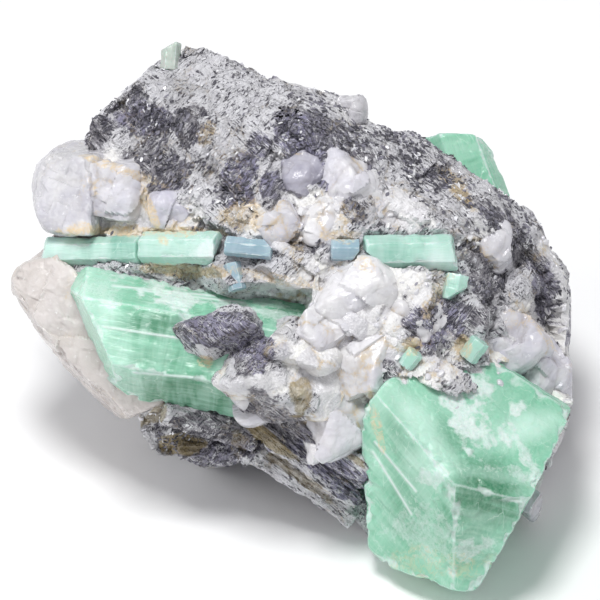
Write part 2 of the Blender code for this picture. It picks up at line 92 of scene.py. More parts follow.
FRACTURES = [
    (0, 0.8, 0.6, 38), (-0.05, 0.33, 0.94, 27.1), (0.5, 0.62, 0.6, 35.4), (0.62, 0.12, 0.775, 33.9),
    (-0.447, 0.1, 0.889, 24.8), (-0.35, -0.76, 0.55, 26.5), (-0.2, -0.62, 0.76, 23.6),
    (-0.1, 0.78, -0.62, 39), (0.66, 0.3, -0.69, 40), (-0.6, 0.3, -0.74, 36), (0.1, 0.42, -0.9, 37),
]
CELL_COUNT = 120
CELL_RADIUS = 26
CELL_TILT = 0.3
CELL_LIFT = 0.8
CELL_SEED = 11
RIM_RELIEF = 0.3
RIM_FADE = 2
HOLLOW_ENDS = ((0, -9, 15.9), (-42, -1.6, 12))
HOLLOW_DEPTH = 12
HOLLOW_SINK = 3
GAP = 0.3
FOOT_CLEARANCE = 0.2
DOWN = (0, -math.cos(ELEVATION), -math.sin(ELEVATION))

# How far over a crystal's faces the rock may stand and still be drawn back, and how far under it then goes.
TUCK_OVER = 2.2
TUCK_UNDER = 0.8

# Fineness of the rock's mesh, how far its points crowd to the show side, and its small breaks: size and
# tilt of each kind, size of crumbs, spacing of leaves, width of seams and of the crevice mask for painted
# shade, and the limits of their height.
ROCK_SIDE = 129
ROCK_TO_SHOW = 0.55
CHUNKS = (12, 0.5)
LARGE_BREAKS = (5.6, 0.55)
SMALL_BREAKS = (2.2, 0.9)
CRUMB_SIZE = 1.3
LEAF_SPACING = 1.3
SEAM_WIDTH = 0.28
CREVICE_SHADE_WIDTH = 0.1
CHUNK_SHARE = 0.6
RELIEF_LIMITS = (-3, 2.4)

# Lumps: centre, half sizes, turn in the face and, for quartz, its smokiness and its lilac tint. They are those of
# the part's source, but eight are moved or flattened by up to 2.3 mm, and the large ones in front are swollen.
LUMPS = {
    "crest_glassy": (9.5, 36, 9, 3, 2.6, 3.2, 20, 0.45, 0.1),
    "upper_pair_dark": (2, 23.5, 19.2, 5, 5.6, 3.6, 10, 0.9, 0.7),
    "upper_pair_white": (9.5, 21.6, 19.8, 6, 7, 4.2, -15, 0, 0.5),
    "upper_small": (4.5, 16.5, 21.5, 5, 4.4, 4, 30, 0, 0.2),
    "upper_low": (-3, 16, 21.5, 4.6, 5, 3.8, 0, 0.1, 0.6),
    "upper_left_pale": (-21.4, 18.6, 14.4, 5.4, 5, 3.2, 10, 0.2, 1),
    "far_left_pale": (-31, 21.5, 9.5, 6, 6, 4.4, -10, 0.1, 0.4),
    "crest_lilac": (33.5, 13, 12.2, 4.4, 6.6, 4.2, 35, 0.15, 0.5),
    "right_block": (39.5, 4, 9, 3.6, 6.4, 5, -20),
    "right_lilac_high": (38, -5, 10.5, 7, 7, 5.2, 25, 0.12, 0.7),
    "right_lilac_low": (43.5, -11, 4.5, 6, 7, 6.4, 10, 0.2, 0.6),
    "centre_north": (11, 4, 24, 7.6, 5.6, 4.4, 20, 0, 0.2),
    "centre_east": (19, 0.5, 21.5, 7, 7, 4.6, -25, 0.05, 0.2),
    "centre_west": (4.5, -3, 25, 6, 5, 4.2, 5, 0, 0.3),
    "centre_south": (12, -8.5, 22.5, 8, 6.6, 5.4, 40, 0, 0.3),
    "purple_right": (27, -1.5, 17.5, 7.6, 6, 4.6, 15),
    "beside_crystal": (7.5, -17.5, 19.5, 6, 7.4, 5.4, -20, 0.05, 0.2),
    "low_left": (-6, -14.5, 18, 6.4, 4.8, 5, 10, 0.1, 0.4),
    "patch_on_crystal": (-12.8, -3.2, 23.6, 8.8, 4.6, 5.6, 8),
    "patch_below": (-3.5, -11, 22, 12, 8, 8, -20),
    "patch_east": (1, -6.8, 24, 8, 4.8, 6.2, -12),
    "shelf_west": (-9.5, 6.8, 17.2, 8, 4.4, 6, -8),
    "shelf_east": (-0.5, 8.4, 19.2, 9, 4.6, 6.6, -8),
    "shelf_far_west": (-21, 8.7, 12.6, 7, 2, 3.4, 0),
    "lower_right_knob": (41, -32.5, 4, 3.2, 3.6, 4.4, 0, 0.3, 0.5),
    "back_upper": (4, 26, -25.5, 8, 7, 6, 15),
    "back_upper_left": (-17, 24, -21, 7, 6, 6, -25, 0.2, 0.4),
    "back_left": (-30, 10, -18, 6, 8, 6, 10, 0.5, 0.1),
    "back_middle": (-8, 9, -33.5, 9, 7, 5, 30),
    "back_right": (21, 13, -28, 8, 7, 5.4, -10, 0.1, 0.4),
    "back_far_right": (38, 2, -17.5, 6, 9, 6, 0, 0.2, 0.6),
    "back_low": (10, -2, -38, 8, 6, 5, 20),
}
LUMP_FACETS = 9
LUMP_CHIP_DEPTHS = (0.66, 0.84)
LUMP_SEED = 5
LUMP_SMALL_FACETS = 7
LUMP_SMALL_DEPTHS = (0.74, 0.95)
LUMP_BLOCK_DEPTHS = (0.6, 0.76)
LUMP_SHARPNESS = 60
LUMP_SWELL = 1.2
SWOLLEN_ABOVE = 3.9
LUMP_SIDE = 31
LUMP_RELIEF = 0.45
LUMP_WAVES = (4.6, 1.3)

# Pits bitten out of the block: centre, half sizes and turn.
PITS = {
    "slit_upper_left": (-22.5, 23.5, 19, 2.8, 0.7, 3, 35),
    "hole_ridge": (-7, 37, 14.5, 1.2, 0.9, 2.2, 0), "gap_crest": (32, 10.5, 19, 4.2, 1.3, 5, -25),
    "hole_centre": (30.5, -2.8, 23.5, 1.7, 1.6, 4, 10),
    "sliver_left": (-23.2, 18, 19, 0.9, 2.6, 2.6, 12),
}
# Laths of schist, from the part's source: start, end, half width, half thickness.
LATHS = {
    "lath_outer": (-9.5, -22.5, 9, 11, -35.5, 6, 2.2, 2.6),
    "lath_middle": (-7.5, -18, 14.5, 12, -32.5, 11, 2.4, 2.8),
    "lath_inner": (-1, -17.5, 18.5, 13, -28, 16.5, 2.6, 3),
    "keel_ledge": (-23, -17, 12.5, -7, -21, 12, 2.4, 3),
    "keel_fin": (-20, -24, 3, -8, -24, 4.5, 1.8, 4),
}
LATH_SIDE = 29
LATH_RELIEF = 0.5
LATH_LEAVES = 0.8
LATH_SHARPNESS = 40
LATH_END_AT = 0.8
LATH_EDGE_AT = 0.6
LATH_END_BEVEL = (0.7, 0.7, 0.15)
LATH_EDGE_BEVEL = (0.04, 0.75, 0.6)

# Beryl prisms, from the part's source: the two ends, distance across the corners, flattening, turn, then
# the fineness of the mesh, the finish, and each broken face's normal and a point on it.
PRISMS = {
    "emerald_left": ((6, -10, 16.5, -42, -1.6, 12), 22, 1, 0, 101, "emerald", [
        (-0.9, -0.4, 0.16, -36.6, -2.4, 14), (-0.74, 0.6, 0.3, -37, 7.4, 14),
        (0.8, 0.56, -0.2, 4, 0, 14), (-0.62, -0.78, 0.05, -30, -14, 12),
        (0.7, -0.7, 0.1, -7, -15.5, 14),
    ]),
    "emerald_row_left": ((-45, 10.9, 4.6, -27.2, 11.2, 13.5), 5.5, 0.9, 0, 41, "emerald", [
        (-0.95, 0.25, 0.1, -44.6, 11, 4.6),
    ]),
    "emerald_row_middle": ((-26.7, 11.6, 13.9, -13.2, 11.6, 20.2), 6.2, 0.9, 0, 41, "emerald_pale", [
        (0.93, -0.36, 0, -14, 10, 22),
    ]),
    "beryl_blue_west": ((-12.2, 12, 23, -4, 11.2, 24.4), 3.7, 0.9, 10, 25, "beryl_blue", [
        (0.75, 0.65, 0, -4.6, 12.2, 24),
    ]),
    "beryl_teal_stub": ((-11.2, 8.9, 21.6, -10, 4.2, 22.4), 3.4, 0.9, 0, 25, "beryl_blue", []),
    "beryl_blue_east": ((6.2, 11.2, 24.6, 11.2, 11.2, 24.2), 4.2, 0.9, 20, 25, "beryl_blue", [
        (0.8, -0.6, 0, 10.4, 9.8, 24),
    ]),
    "emerald_row_right": ((12, 10.6, 23.6, 28.6, 10.9, 20.4), 6.8, 0.9, 0, 41, "emerald", [
        (-0.62, -0.78, 0, 14.6, 9.2, 24), (0.95, 0.2, 0.2, 28.2, 11, 21),
    ]),
    "emerald_row_stub": ((28.4, 6.9, 20.6, 27.6, 2.4, 21.2), 4.6, 0.9, 15, 25, "emerald_pale", [
        (0.5, -0.8, 0.2, 28.8, 3.6, 21),
    ]),
    "emerald_back": ((34.2, 14, -6.5, 26.2, 36, -8.5), 12.6, 1, 12, 45, "emerald", [
        (0, 0.98, -0.2, 29, 31.4, -6), (0.75, 0.66, 0, 33.6, 30.6, -6),
    ]),
    "emerald_chip_left": ((19.3, -9, 25.6, 21.2, -6.6, 26.6), 3.2, 0.9, 0, 21, "emerald_pale", []),
    "emerald_chip_right": ((30.2, -7.8, 20.6, 32.6, -4.6, 21.4), 3.8, 0.9, 0, 21, "emerald_pale", []),
    "emerald_tip_top": ((-22.2, 43, 1.8, -21.8, 48, 1), 3.6, 1, 0, 21, "emerald_pale", [
        (-0.5, 0.86, 0, -22.8, 47.2, 0),
    ]),
}
# Blocks bounded by unlike faces, from the part's source: long axis, fineness, finish, then the faces.
BLOCKS = {
    "emerald_lower_right": ((0.337, 0.5, 0.798), 111, "emerald", [
        (-0.639, -0.385, 0.666, 27.8, -29.7, 34), (0.112, -0.498, 0.861, 27.8, -29.7, 34),
        (0.337, 0.5, 0.798, 27.8, -29.7, 34), (0.88, -0.474, -0.05, 48.1, -18, 14),
        (-0.99, 0, -0.1, 12.6, -33, 14), (-0.2, -0.96, -0.18, 24, -47.2, 20),
        (-0.72, -0.69, -0.05, 14, -42.4, 12), (0.55, 0.83, 0.05, 45, -14.4, 14),
        (-0.2, 0.97, -0.1, 22, -11.4, 14), (-0.75, 0.66, 0, 15.2, -12.6, 20),
        (0.1, 0.35, -0.93, 28, -28, -2), (0.55, -0.83, 0.05, 35.2, -46.4, 14),
    ]),
    "quartz_lower_left": ((0.6, -0.75, 0.1), 71, "quartz_smoky", [
        (-0.4, 0.91, 0.1, -47.1, 9, 5), (-0.87, 0.48, 0.1, -49.6, 7, 5),
        (-0.88, -0.47, 0.1, -49.6, 4.6, 5), (-0.75, -0.65, 0.08, -43, -5.2, 5),
        (-0.66, -0.75, 0.1, -34.9, -13.6, 5), (0.45, -0.89, 0, -29.6, -18.4, 5),
        (-0.42, 0.1, 0.9, -43.4, 2, 9.6), (-0.3, -0.3, 0.9, -36, -10, 9.6),
        (0.8, 0.6, 0, -23.4, -13, 6), (-0.2, -0.3, -0.93, -38, -6, -12), (-0.7, 0, -0.7, -47.4, 2, -3),
    ]),
    "quartz_upper_left": ((0, 1, 0), 61, "quartz_pale", [
        (-0.98, 0.1, 0.15, -45.6, 22, 4), (-0.66, 0.74, 0.1, -43.8, 27.8, 4),
        (-0.05, 0.98, 0.18, -40, 28.8, 4), (-0.92, -0.38, 0.05, -45, 17, 4),
        (-0.1, -0.99, 0, -42, 14.6, 4), (-0.52, 0.16, 0.84, -42, 22, 9.4),
        (0.35, 0.3, 0.88, -36.6, 23, 12.6), (0.95, 0, 0.3, -33.6, 22, 6),
        (0.2, 0.1, -0.97, -40, 22, -9), (-0.72, 0.2, -0.66, -44.2, 22, -5),
    ]),
}
# Surfaces of crystals: how sharp the edges are, then the heights of ridges, steps and waves in millimetres,
# and the largest chips. Chips and wear reach in from an edge by a share of the crystal's size.
PRISM_SHARPNESS = 64
BLOCK_SHARPNESS = 80
QUARTZ_SHARPNESS = 28
QUARTZ_RELIEF = 0.35
RIDGE_HEIGHT = 0.2
STEP_HEIGHT = 0.14
WAVE_HEIGHT = 0.9
CHIP_SIZE = 2.4
CHIP_DEPTH = 1.2
CHIP_SHARE = 0.09
WEAR_SHARE = 0.05

# Crystals that don't look like the rest of their slot, and the quartz blocks' noise, smokiness and lilac
# tint.
LOOKS = {
    "emerald_row_left": "emerald_pale", "emerald_row_right": "emerald_pale", "emerald_tip_top": "grey_beryl",
}
QUARTZ_LOOKS = {"quartz_smoky": (801, 0.45, 0), "quartz_pale": (802, 0.32, 0.4)}

# Patches of colour on the show face: centre, half sizes and turn of an ellipse, and strength. The first six
# are on the rock and the last three on the crystals.
PATCHES = {
    "dark": [
        (-27.1, 34, 5.6, 3.8, -12, 1), (-18.6, 33.1, 3, 3.8, 10, 1), (-25.8, 27.6, 4.6, 3.6, -30, 0.95),
        (-22.3, 23.4, 4.4, 2.2, 40, 1), (-35, 31.6, 2.8, 4, -30, 0.9), (-9.6, 23.7, 3.4, 5, -20, 0.95),
        (-4.4, 22.6, 3, 2.6, 0, 0.85), (-6.4, 29.6, 2.2, 2.4, 30, 0.7), (2, 29.4, 4.6, 7.2, 25, 0.9),
        (7.5, 30.5, 7.5, 3, -42, 0.8), (23.9, 25, 9, 2.4, -38, 0.5), (38, 13.6, 8, 2.4, -52, 0.85),
        (43.6, 4.6, 6.6, 2.2, -76, 0.95), (32, 10.8, 3.8, 2.2, -25, 0.9), (33.6, 6, 3.8, 3, 0, 0.95),
        (3, 12.2, 3.2, 1.6, 0, 0.9), (14.6, -10.4, 2.8, 3, 20, 0.9), (-14, -2.6, 6.2, 3.6, 0, 1),
        (-7, -6.2, 3.6, 4, 0, 0.9), (-15, -22.4, 11, 5, 5, 0.85), (-2, -20, 9, 3.4, -38, 0.8),
        (7, -27, 10, 3, -42, 0.75), (26.5, -1.4, 8.2, 4.4, 10, 0.85), (-29.8, 37.6, 4, 1.2, 40, 0.7),
        (10.4, 17.4, 2.6, 1.6, -40, 0.6), (-18.2, 13.9, 1.6, 1.4, 0, 0.8),
    ],
    "violet": [
        (-27.1, 34.4, 5, 3.2, 0, 0.9), (-9, 23.7, 5, 6, 0, 1), (2, 27, 5, 8, 20, 0.9),
        (-14, -3, 7, 4.6, 0, 0.7), (-6, -6, 4, 4.6, 0, 0.8), (24, -2, 5.4, 4.4, 0, 0.8),
        (-22, 17.6, 4, 4, 0, 0.8), (43.6, 4.6, 5, 3, -76, 0.5), (6, -28, 8, 5, -42, 0.8),
        (-12, -25, 9, 3, 0, 0.5), (-4, 31, 6, 6, 0, 0.6),
    ],
    "quartz": [
        (12.4, -5, 15, 16, 0, 1), (4, 3, 10, 5, -10, 0.8), (-34, 19.6, 11, 7.6, 20, 1),
        (42.6, -9, 9, 13, 0, 1), (48, 6, 3.2, 10, 20, 0.9), (9, -18, 6.4, 7, 0, 1),
        (19, 18.6, 6.6, 3.4, -36, 0.9), (35.6, 13.2, 4, 4.6, 30, 0.8), (-20, 17.4, 4, 3.4, 0, 0.9),
        (-4, 15.6, 4.6, 3.6, 0, 0.9), (4.4, 18, 6, 6, 0, 0.9), (-7, -12, 7, 3.4, 10, 0.8),
        (10, 35, 4.6, 2, -20, 0.6), (41, -32, 5, 6, 0, 1), (-36, -10, 12, 9, -40, 0.9),
    ],
    "stain": [
        (-27, 14.6, 15, 0.9, 0, 1), (-19.7, 7.6, 8, 1.2, -3, 1), (-9.6, 17.6, 4.6, 2.8, 0, 0.8),
        (-24.8, 17, 1.2, 5, 25, 0.9), (28.3, 22.3, 5.6, 1.5, -48, 1), (-15.4, 31.6, 1.6, 3.4, -20, 0.6),
        (21, -5.6, 2, 1.8, 0, 1), (29.6, -5.6, 1.6, 2, 0, 0.9), (12, 8.6, 3, 1.4, -30, 0.6),
        (24.6, 3, 1.4, 5, -30, 0.7), (-31, 25.6, 7, 0.8, -20, 0.7), (-4.4, 6.4, 9, 0.9, -12, 0.6),
        (14.4, -19.4, 0.9, 5, 12, 0.9), (6.8, 13.6, 4, 1.4, 0, 0.8), (0.4, 12, 1.4, 3, 0, 0.6),
        (-37.8, 14.8, 4, 1.2, 10, 0.8), (24, -43.6, 10, 3, 0, 0.5), (41.6, -1, 6, 0.7, -50, 0.6),
        (-15.6, -8.4, 1.4, 1, 0, 0.9),
    ],
    "gold": [
        (-19.6, -23, 4.4, 1.8, 0, 1), (1, -14.6, 2.2, 3.4, 0, 0.9), (-6.4, -20.6, 7.6, 1.3, -38, 1),
        (-25, -18, 3.4, 1.6, 40, 0.9), (1, -29, 7, 1.2, -38, 0.8), (32, 12.4, 3.4, 1, -25, 0.8),
        (-10, -22.4, 1.6, 3, 0, 0.7), (6.6, -22, 7, 0.8, -42, 0.9),
    ],
    "crest": [
        (8, 32.6, 10, 5, -35, 1), (23.9, 24.6, 13, 5.4, -38, 1), (38, 14, 10, 5, -52, 1),
        (44.3, 4.2, 8, 4.2, -80, 1), (4, -25, 16, 6, -38, 1),
    ],
    # Darker green: partly the beryl's own colour, and on the lower facets of the two big emeralds painted shade.
    "deep_green_and_shade": [
        (33, -31.6, 7, 5.6, -20, 1), (29.4, -36, 5, 7, 10, 0.6), (-20, -14, 17, 3.6, -6, 1),
        (-23.6, -2, 6, 2.2, -6, 0.9), (19, -22, 2.4, 7, 20, 0.5), (-22, -8, 8, 2, -4, 0.4),
        (17, 10.6, 3.4, 2.4, 0, 0.6), (-30.6, 11.2, 2.4, 3, 0, 0.9), (-36.6, 11.2, 0.9, 3, 0, 0.5),
        (20, -33, 4, 8, 0, 0.45), (2, -1, 7, 2.4, -20, 0.6), (27, -22, 3.4, 3.4, 0, 0.5),
    ],
    "milk": [
        (21.6, -19.6, 10, 2.6, -52, 1), (-35.4, 0, 4.6, 9, 0, 1), (-31, -8, 3, 6, 20, 0.8),
        (40.6, -20, 5, 2.6, 15, 0.9), (16, -15, 4, 3, 0, 0.7), (24, -26, 4.4, 3, -40, 0.9),
        (25.4, 8.6, 3.4, 3, 0, 0.9), (-43, 11, 4, 3, 0, 0.6), (-20, 11.4, 7, 3, 0, 0.4),
        (36.6, -28.4, 8, 1, -10, 0.5),
    ],
    "frost": [
        (29.6, -18, 2.8, 6.4, 25, 1), (31.8, -13.4, 2.8, 2.6, 0, 1), (38.5, -16.3, 2, 1.1, -30, 1),
        (37, -21.8, 0.9, 2.4, 30, 0.9), (33, -20.6, 1.6, 3, 20, 0.8), (22.6, -38.6, 6, 5, 0, 0.5),
        (-21.8, 3, 5, 1.8, -14, 1), (-21, 6.2, 12, 1.6, -6, 0.75), (-9, 1, 8, 1, -10, 0.8),
        (41, -26, 0.9, 7, 26, 0.8), (23.4, -28.6, 2.4, 1.8, 0, 0.7), (30, -41, 4, 1.8, 0, 0.7),
        (-33.6, 3.6, 4, 2.2, 0, 0.4), (-16, 11, 2.4, 1.8, 0, 1), (39.4, -28, 3, 1.2, -20, 0.6),
        (-6, 2.6, 6, 0.8, -16, 0.6),
    ],
}
PATCH_RAGGEDNESS = 1.5
CLEAVAGE_LINES = [
    (-33.6, -2.2, -20.4, -4.2), (-28.4, -10.2, -16.6, -11.2), (14, -22.4, 21.2, -31),
    (13.6, -24, 20.4, -35), (-32, 5, -14, 3.2), (-27, 4.2, -9, 2),
]
CLEAVAGE_WIDTH = 0.22

# How much the domes of a broken surface bend for their tilt, the axes of their lattice, set askew so that
# no row of them shows, and the angle over which an edge is drawn sharp.
DOME_BEND = 0.4
LATTICE = np.linalg.qr(np.array([(0.9, 0.5, -0.2), (-0.4, 0.8, 0.6), (0.5, -0.3, 0.9)]))[0]
SHARP_EDGE = math.radians(32)

# Grains and flakes strewn over the rock, and which way slivers and flakes run on the face.
GRAIN_COUNT = 900
GRAIN_SIZES = (0.35, 1.1)
GRAIN_CHIPS = 8
FLAKE_COUNT = 6500
SILVER_COUNT = 1600
FLAKE_LENGTHS = (0.16, 0.55)
FLAKE_SPREAD = 0.32
FLAKE_LEAN = 0.35
STREW_SEED = 23
SLIVERS_RISE = math.radians(48)
SLIVERS_FALL = math.radians(-42)


def srgb(red, green, blue):
    """A colour as seen on a screen, from 0 to 255, as the linear colour that a shader takes."""
    shown = np.array((red, green, blue)) / 255
    return (*np.where(shown <= 0.04045, shown / 12.92, ((shown + 0.055) / 1.055) ** 2.4), 1.0)


def unit(vectors):
    """Vectors divided by their lengths."""
    vectors = np.asarray(vectors, float)
    return vectors / np.linalg.norm(vectors, axis=-1, keepdims=True)


def turned_axes(degrees):
    """Axes turned in the face by an angle, as rows: its cosine and sine along X and Y, and Z as it was."""
    cosine, sine = math.cos(math.radians(degrees)), math.sin(math.radians(degrees))
    return np.array([(cosine, sine, 0), (-sine, cosine, 0), (0, 0, 1)])


def to_row(points):
    """Face frame in millimetres to row frame in metres: a turn about X by the face's lean, then a shift."""
    across, up, out = points.T
    back = up * math.sin(ELEVATION) - out * math.cos(ELEVATION)
    height = up * math.cos(ELEVATION) + out * math.sin(ELEVATION)
    return (np.stack([across, back, height], -1) + CENTRE) * MM


def random_parts(cells, salt):
    """Three random numbers from 0 to 1 for each whole-number cell: a product with primes, folded three
    times."""
    mixed = cells.astype(np.int64) @ np.array((73856093, 19349663, 83492791))
    mixed = (mixed + salt * 2654435761) & 0xFFFFFFFF
    for _ in range(3):
        mixed = ((mixed ^ (mixed >> 16)) * 0x45D9F3B) & 0xFFFFFFFF
    return np.stack([((mixed >> shift) & 1023) / 1023 for shift in (2, 12, 22)], -1)


def cloud(points, size, salt):
    """Smooth noise from 0 to 1: random values at the corners of a lattice of that size, blended by cubic
    steps."""
    scaled = points / size
    base = np.floor(scaled)
    step = (scaled - base) ** 2 * (3 - 2 * (scaled - base))
    total = np.zeros(len(points))
    for corner in itertools.product((0, 1), repeat=3):
        share = np.where(corner, step, 1 - step).prod(axis=1)
        total += share * random_parts(base + corner, salt)[:, 0]
    return total


def clouds(points, size, salt, layers=3):
    """Rough noise from 0 to 1: layers of smooth noise, each half the size and half the height of the
    last."""
    weights = 0.5 ** np.arange(layers)
    stack = [weight * cloud(points, size * weight, salt + 7 * n) for n, weight in enumerate(weights)]
    return sum(stack) / weights.sum()


def broken(points, size, tilt, salt):
    """Broken surface: in each lattice cell of that size one tilted, nearly flat dome at a random place, and
    at each point the highest of them. Gives that height, its lead over the next, and a random value of its
    own."""
    scaled = points @ LATTICE / size
    base = np.floor(scaled)
    best = np.full(len(points), -9.0)
    second = np.full(len(points), -9.0)
    pick = np.zeros(len(points))
    for corner in itertools.product((-1, 0, 1), repeat=3):
        cell = base + corner
        seed = random_parts(cell, salt)
        slope = (random_parts(cell, salt + 1) - 0.5) * 2 * tilt
        away = scaled - cell - seed
        height = (away * slope).sum(axis=1) - DOME_BEND * tilt * (away ** 2).sum(axis=1) + 0.15 * seed[:, 0]
        ahead = height > best
        second = np.where(ahead, best, np.maximum(second, height))
        pick = np.where(ahead, seed[:, 1], pick)
        best = np.where(ahead, height, best)
    return best * size, (best - second) * size, pick


def smooth_step(value, low, high):
    """0 below low, 1 above high, and a cubic step between."""
    share = np.clip((value - low) / (high - low), 0, 1)
    return share * share * (3 - 2 * share)


def patches(points, kind, salt, rim=0.35, raggedness=PATCH_RAGGEDNESS, grain=3.2):
    """How far each point is in the patches of a kind: 1 inside an ellipse and 0 outside, over a rim that
    noise makes ragged. Only the show side has them."""
    ragged = (clouds(points, grain, salt, layers=4) - 0.5) * raggedness
    mask = np.zeros(len(points))
    for x, y, half_x, half_y, turn, strength in PATCHES[kind]:
        along, beside = turned_axes(turn)[:2, :2] @ (points[:, :2] - (x, y)).T
        inside = 1 - np.hypot(along / half_x, beside / half_y) + ragged
        mask = np.maximum(mask, strength * smooth_step(inside, -rim / 2, rim / 2))
    return mask * smooth_step(points[:, 2], -8, -2)


def cleavage_lines(points):
    """1 on the straight cleavage lines of the show face, falling to 0 at their width."""
    mask = np.zeros(len(points))
    for start, end in np.reshape(CLEAVAGE_LINES, (-1, 2, 2)):
        along = end - start
        away = points[:, :2] - start
        share = np.clip(away @ along / (along @ along), 0, 1)
        apart = np.linalg.norm(away - share[:, None] * along, axis=1)
        mask = np.maximum(mask, np.exp(-(apart / CLEAVAGE_WIDTH) ** 2))
    return mask * smooth_step(points[:, 2], -8, -2)


def even_ball(side):
    """Directions over a ball: six square grids of two parameters, bulged from a cube's faces by equal
    angles, with the doubled edges merged. Gives the directions and the square faces."""
    steps = np.tan(np.linspace(-1, 1, side) * math.pi / 4)
    u, v = np.meshgrid(steps, steps, indexing="ij")
    one = np.ones_like(u)
    sheets = [(one, u, v), (-one, v, u), (v, one, u), (u, -one, v), (u, v, one), (v, u, -one)]
    cube = np.concatenate([np.stack(sheet, -1).reshape(-1, 3) for sheet in sheets])
    index = np.arange(len(cube)).reshape(6, side, side)
    around = [index[:, :-1, :-1], index[:, 1:, :-1], index[:, 1:, 1:], index[:, :-1, 1:]]
    faces = np.stack(around, -1).reshape(-1, 4)
    _, first, merged = np.unique(np.round(cube, 6), axis=0, return_index=True, return_inverse=True)
    return unit(cube[first]), merged.reshape(-1)[faces]


def face_areas(points, faces):
    """Each face's corners, and the cross product of its diagonals: outward, and twice its area long."""
    corners = points[faces]
    return corners, np.cross(corners[:, 2] - corners[:, 0], corners[:, 3] - corners[:, 1])


def normals_of(points, faces):
    """Outward direction at each point: the summed areas of the faces that meet there."""
    _, area = face_areas(points, faces)
    total = np.zeros_like(points)
    for corner, axis in itertools.product(range(4), range(3)):
        total[:, axis] += np.bincount(faces[:, corner], area[:, axis], len(points))
    return unit(total + 1e-12)


def plane_reach(directions, planes, sharpness):
    """Distance from the middle to a body bounded by planes: the power mean of the inverse distances, which
    rounds the edges. Also gives how far each point is from the nearest edge."""
    inverse = np.stack([np.maximum(directions @ normal, 1e-6) / distance for normal, distance in planes], 1)
    reach = (inverse ** sharpness).sum(axis=1) ** (-1 / sharpness)
    ordered = np.sort(inverse, axis=1)
    return reach, (1 - ordered[:, -2] / ordered[:, -1]) * reach


def put_in_scene(name, data):
    """An object with that data, linked to the scene."""
    made = bpy.data.objects.new(name, data)
    bpy.context.scene.collection.objects.link(made)
    return made


def add_piece(name, points, faces, material, slot, replaces=None, smooth=True, space=None, **masks):
    """A closed mesh from points in the face frame, kept inside the solid's box and above the underside. It
    stores the millimetre coordinates that its patterns follow, and its masks, as attributes."""
    low, high = np.array(cad_low) + INSIDE_BOX * MM, np.array(cad_high) - INSIDE_BOX * MM
    low[2] = cad_low[2]
    placed = np.clip(to_row(points), low, high)
    mesh = bpy.data.meshes.new(name)
    mesh.vertices.add(len(placed))
    mesh.loops.add(faces.size)
    mesh.polygons.add(len(faces))
    mesh.vertices.foreach_set("co", placed.astype(np.float32).ravel())
    mesh.loops.foreach_set("vertex_index", faces.astype(np.int32).ravel())
    mesh.polygons.foreach_set("loop_start", np.arange(0, faces.size, faces.shape[1], dtype=np.int32))
    mesh.polygons.foreach_set("use_smooth", np.full(len(faces), smooth))
    mesh.update(calc_edges=True)
    if smooth:
        mesh.set_sharp_from_angle(angle=SHARP_EDGE)
    grain = mesh.attributes.new("grain_space", "FLOAT_VECTOR", "POINT")
    grain.data.foreach_set("vector", (points if space is None else space).astype(np.float32).ravel())
    for label, values in masks.items():
        layer = mesh.attributes.new(label, "FLOAT", "POINT")
        layer.data.foreach_set("value", np.clip(values, 0, 1).astype(np.float32))
    piece = put_in_scene(name, mesh)
    mesh.materials.append(material)
    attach(piece, "root")
    if replaces:
        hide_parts(replaces)


def add_joined(name, parts, material, slot):
    """Several closed meshes as one piece: the faces of each count on from the points before them."""
    starts = np.cumsum([0] + [len(points) for points, _, _ in parts[:-1]])
    points = np.concatenate([points for points, _, _ in parts])
    faces = np.concatenate([faces + start for start, (_, faces, _) in zip(starts, parts)])
    masks = {label: np.concatenate([masks[label] for _, _, masks in parts]) for label in parts[0][2]}
    add_piece(name, points, faces, material, slot, **masks)


def frame_along(start, end):
    """Axes of a frame whose X runs from start to end and whose Z stays near the face's Z, as rows."""
    x = unit(np.subtract(end, start))
    y = unit(np.cross((0, 0, 1), x))
    return np.stack([x, y, np.cross(x, y)])


def enter_box(directions, centre, axes, half):
    """Distance at which rays from the middle enter a box: the last of its near slabs, or endless if they
    miss."""
    along = directions @ axes.T
    along = np.where(abs(along) < 1e-9, 1e-9, along)
    middle = axes @ np.asarray(centre)
    sides = np.stack([(middle - half) / along, (middle + half) / along])
    near, far = sides.min(axis=0).max(axis=1), sides.max(axis=0).min(axis=1)
    return np.where((near < far) & (near > 0), near, np.inf)


def enter_ball(directions, centre, half, turn):
    """Distance at which rays from the middle enter an ellipsoid turned in the face, or endless if they
    miss: the lower root of the square equation of a ray and a ball."""
    axes = turned_axes(turn) / np.array(half)[:, None]
    ray, middle = directions @ axes.T, axes @ np.array(centre)
    square, cross = (ray ** 2).sum(axis=1), ray @ middle
    inside = cross ** 2 - square * (middle @ middle - 1)
    return np.where((inside > 0) & (cross > 0), (cross - np.sqrt(np.maximum(inside, 0))) / square, np.inf)


def rock_body(directions):
    """Points of the part's rounded body: a power mean of the outline's and the depth's reach, cut to
    fractures."""
    bearing = np.arctan2(OUTLINE[:, 1], OUTLINE[:, 0])
    order = np.argsort(bearing)
    outline = np.hypot(*OUTLINE[order].T)
    asked = np.arctan2(directions[:, 1], directions[:, 0])
    reach = np.interp(asked, bearing[order], outline, period=2 * math.pi)
    sideways = np.hypot(directions[:, 0], directions[:, 1]) / reach
    depthways = abs(directions[:, 2]) / np.where(directions[:, 2] > 0, FRONT_DEPTH, BACK_DEPTH)
    radius = (sideways ** ROUNDNESS + depthways ** ROUNDNESS) ** (-1 / ROUNDNESS)
    for *normal, distance in FRACTURES:
        facing = directions @ unit(normal)
        to_plane = distance / np.maximum(facing, LEAST_FACING)
        radius = np.where(facing > LEAST_FACING, np.minimum(radius, to_plane), radius)
    return directions * radius[:, None]


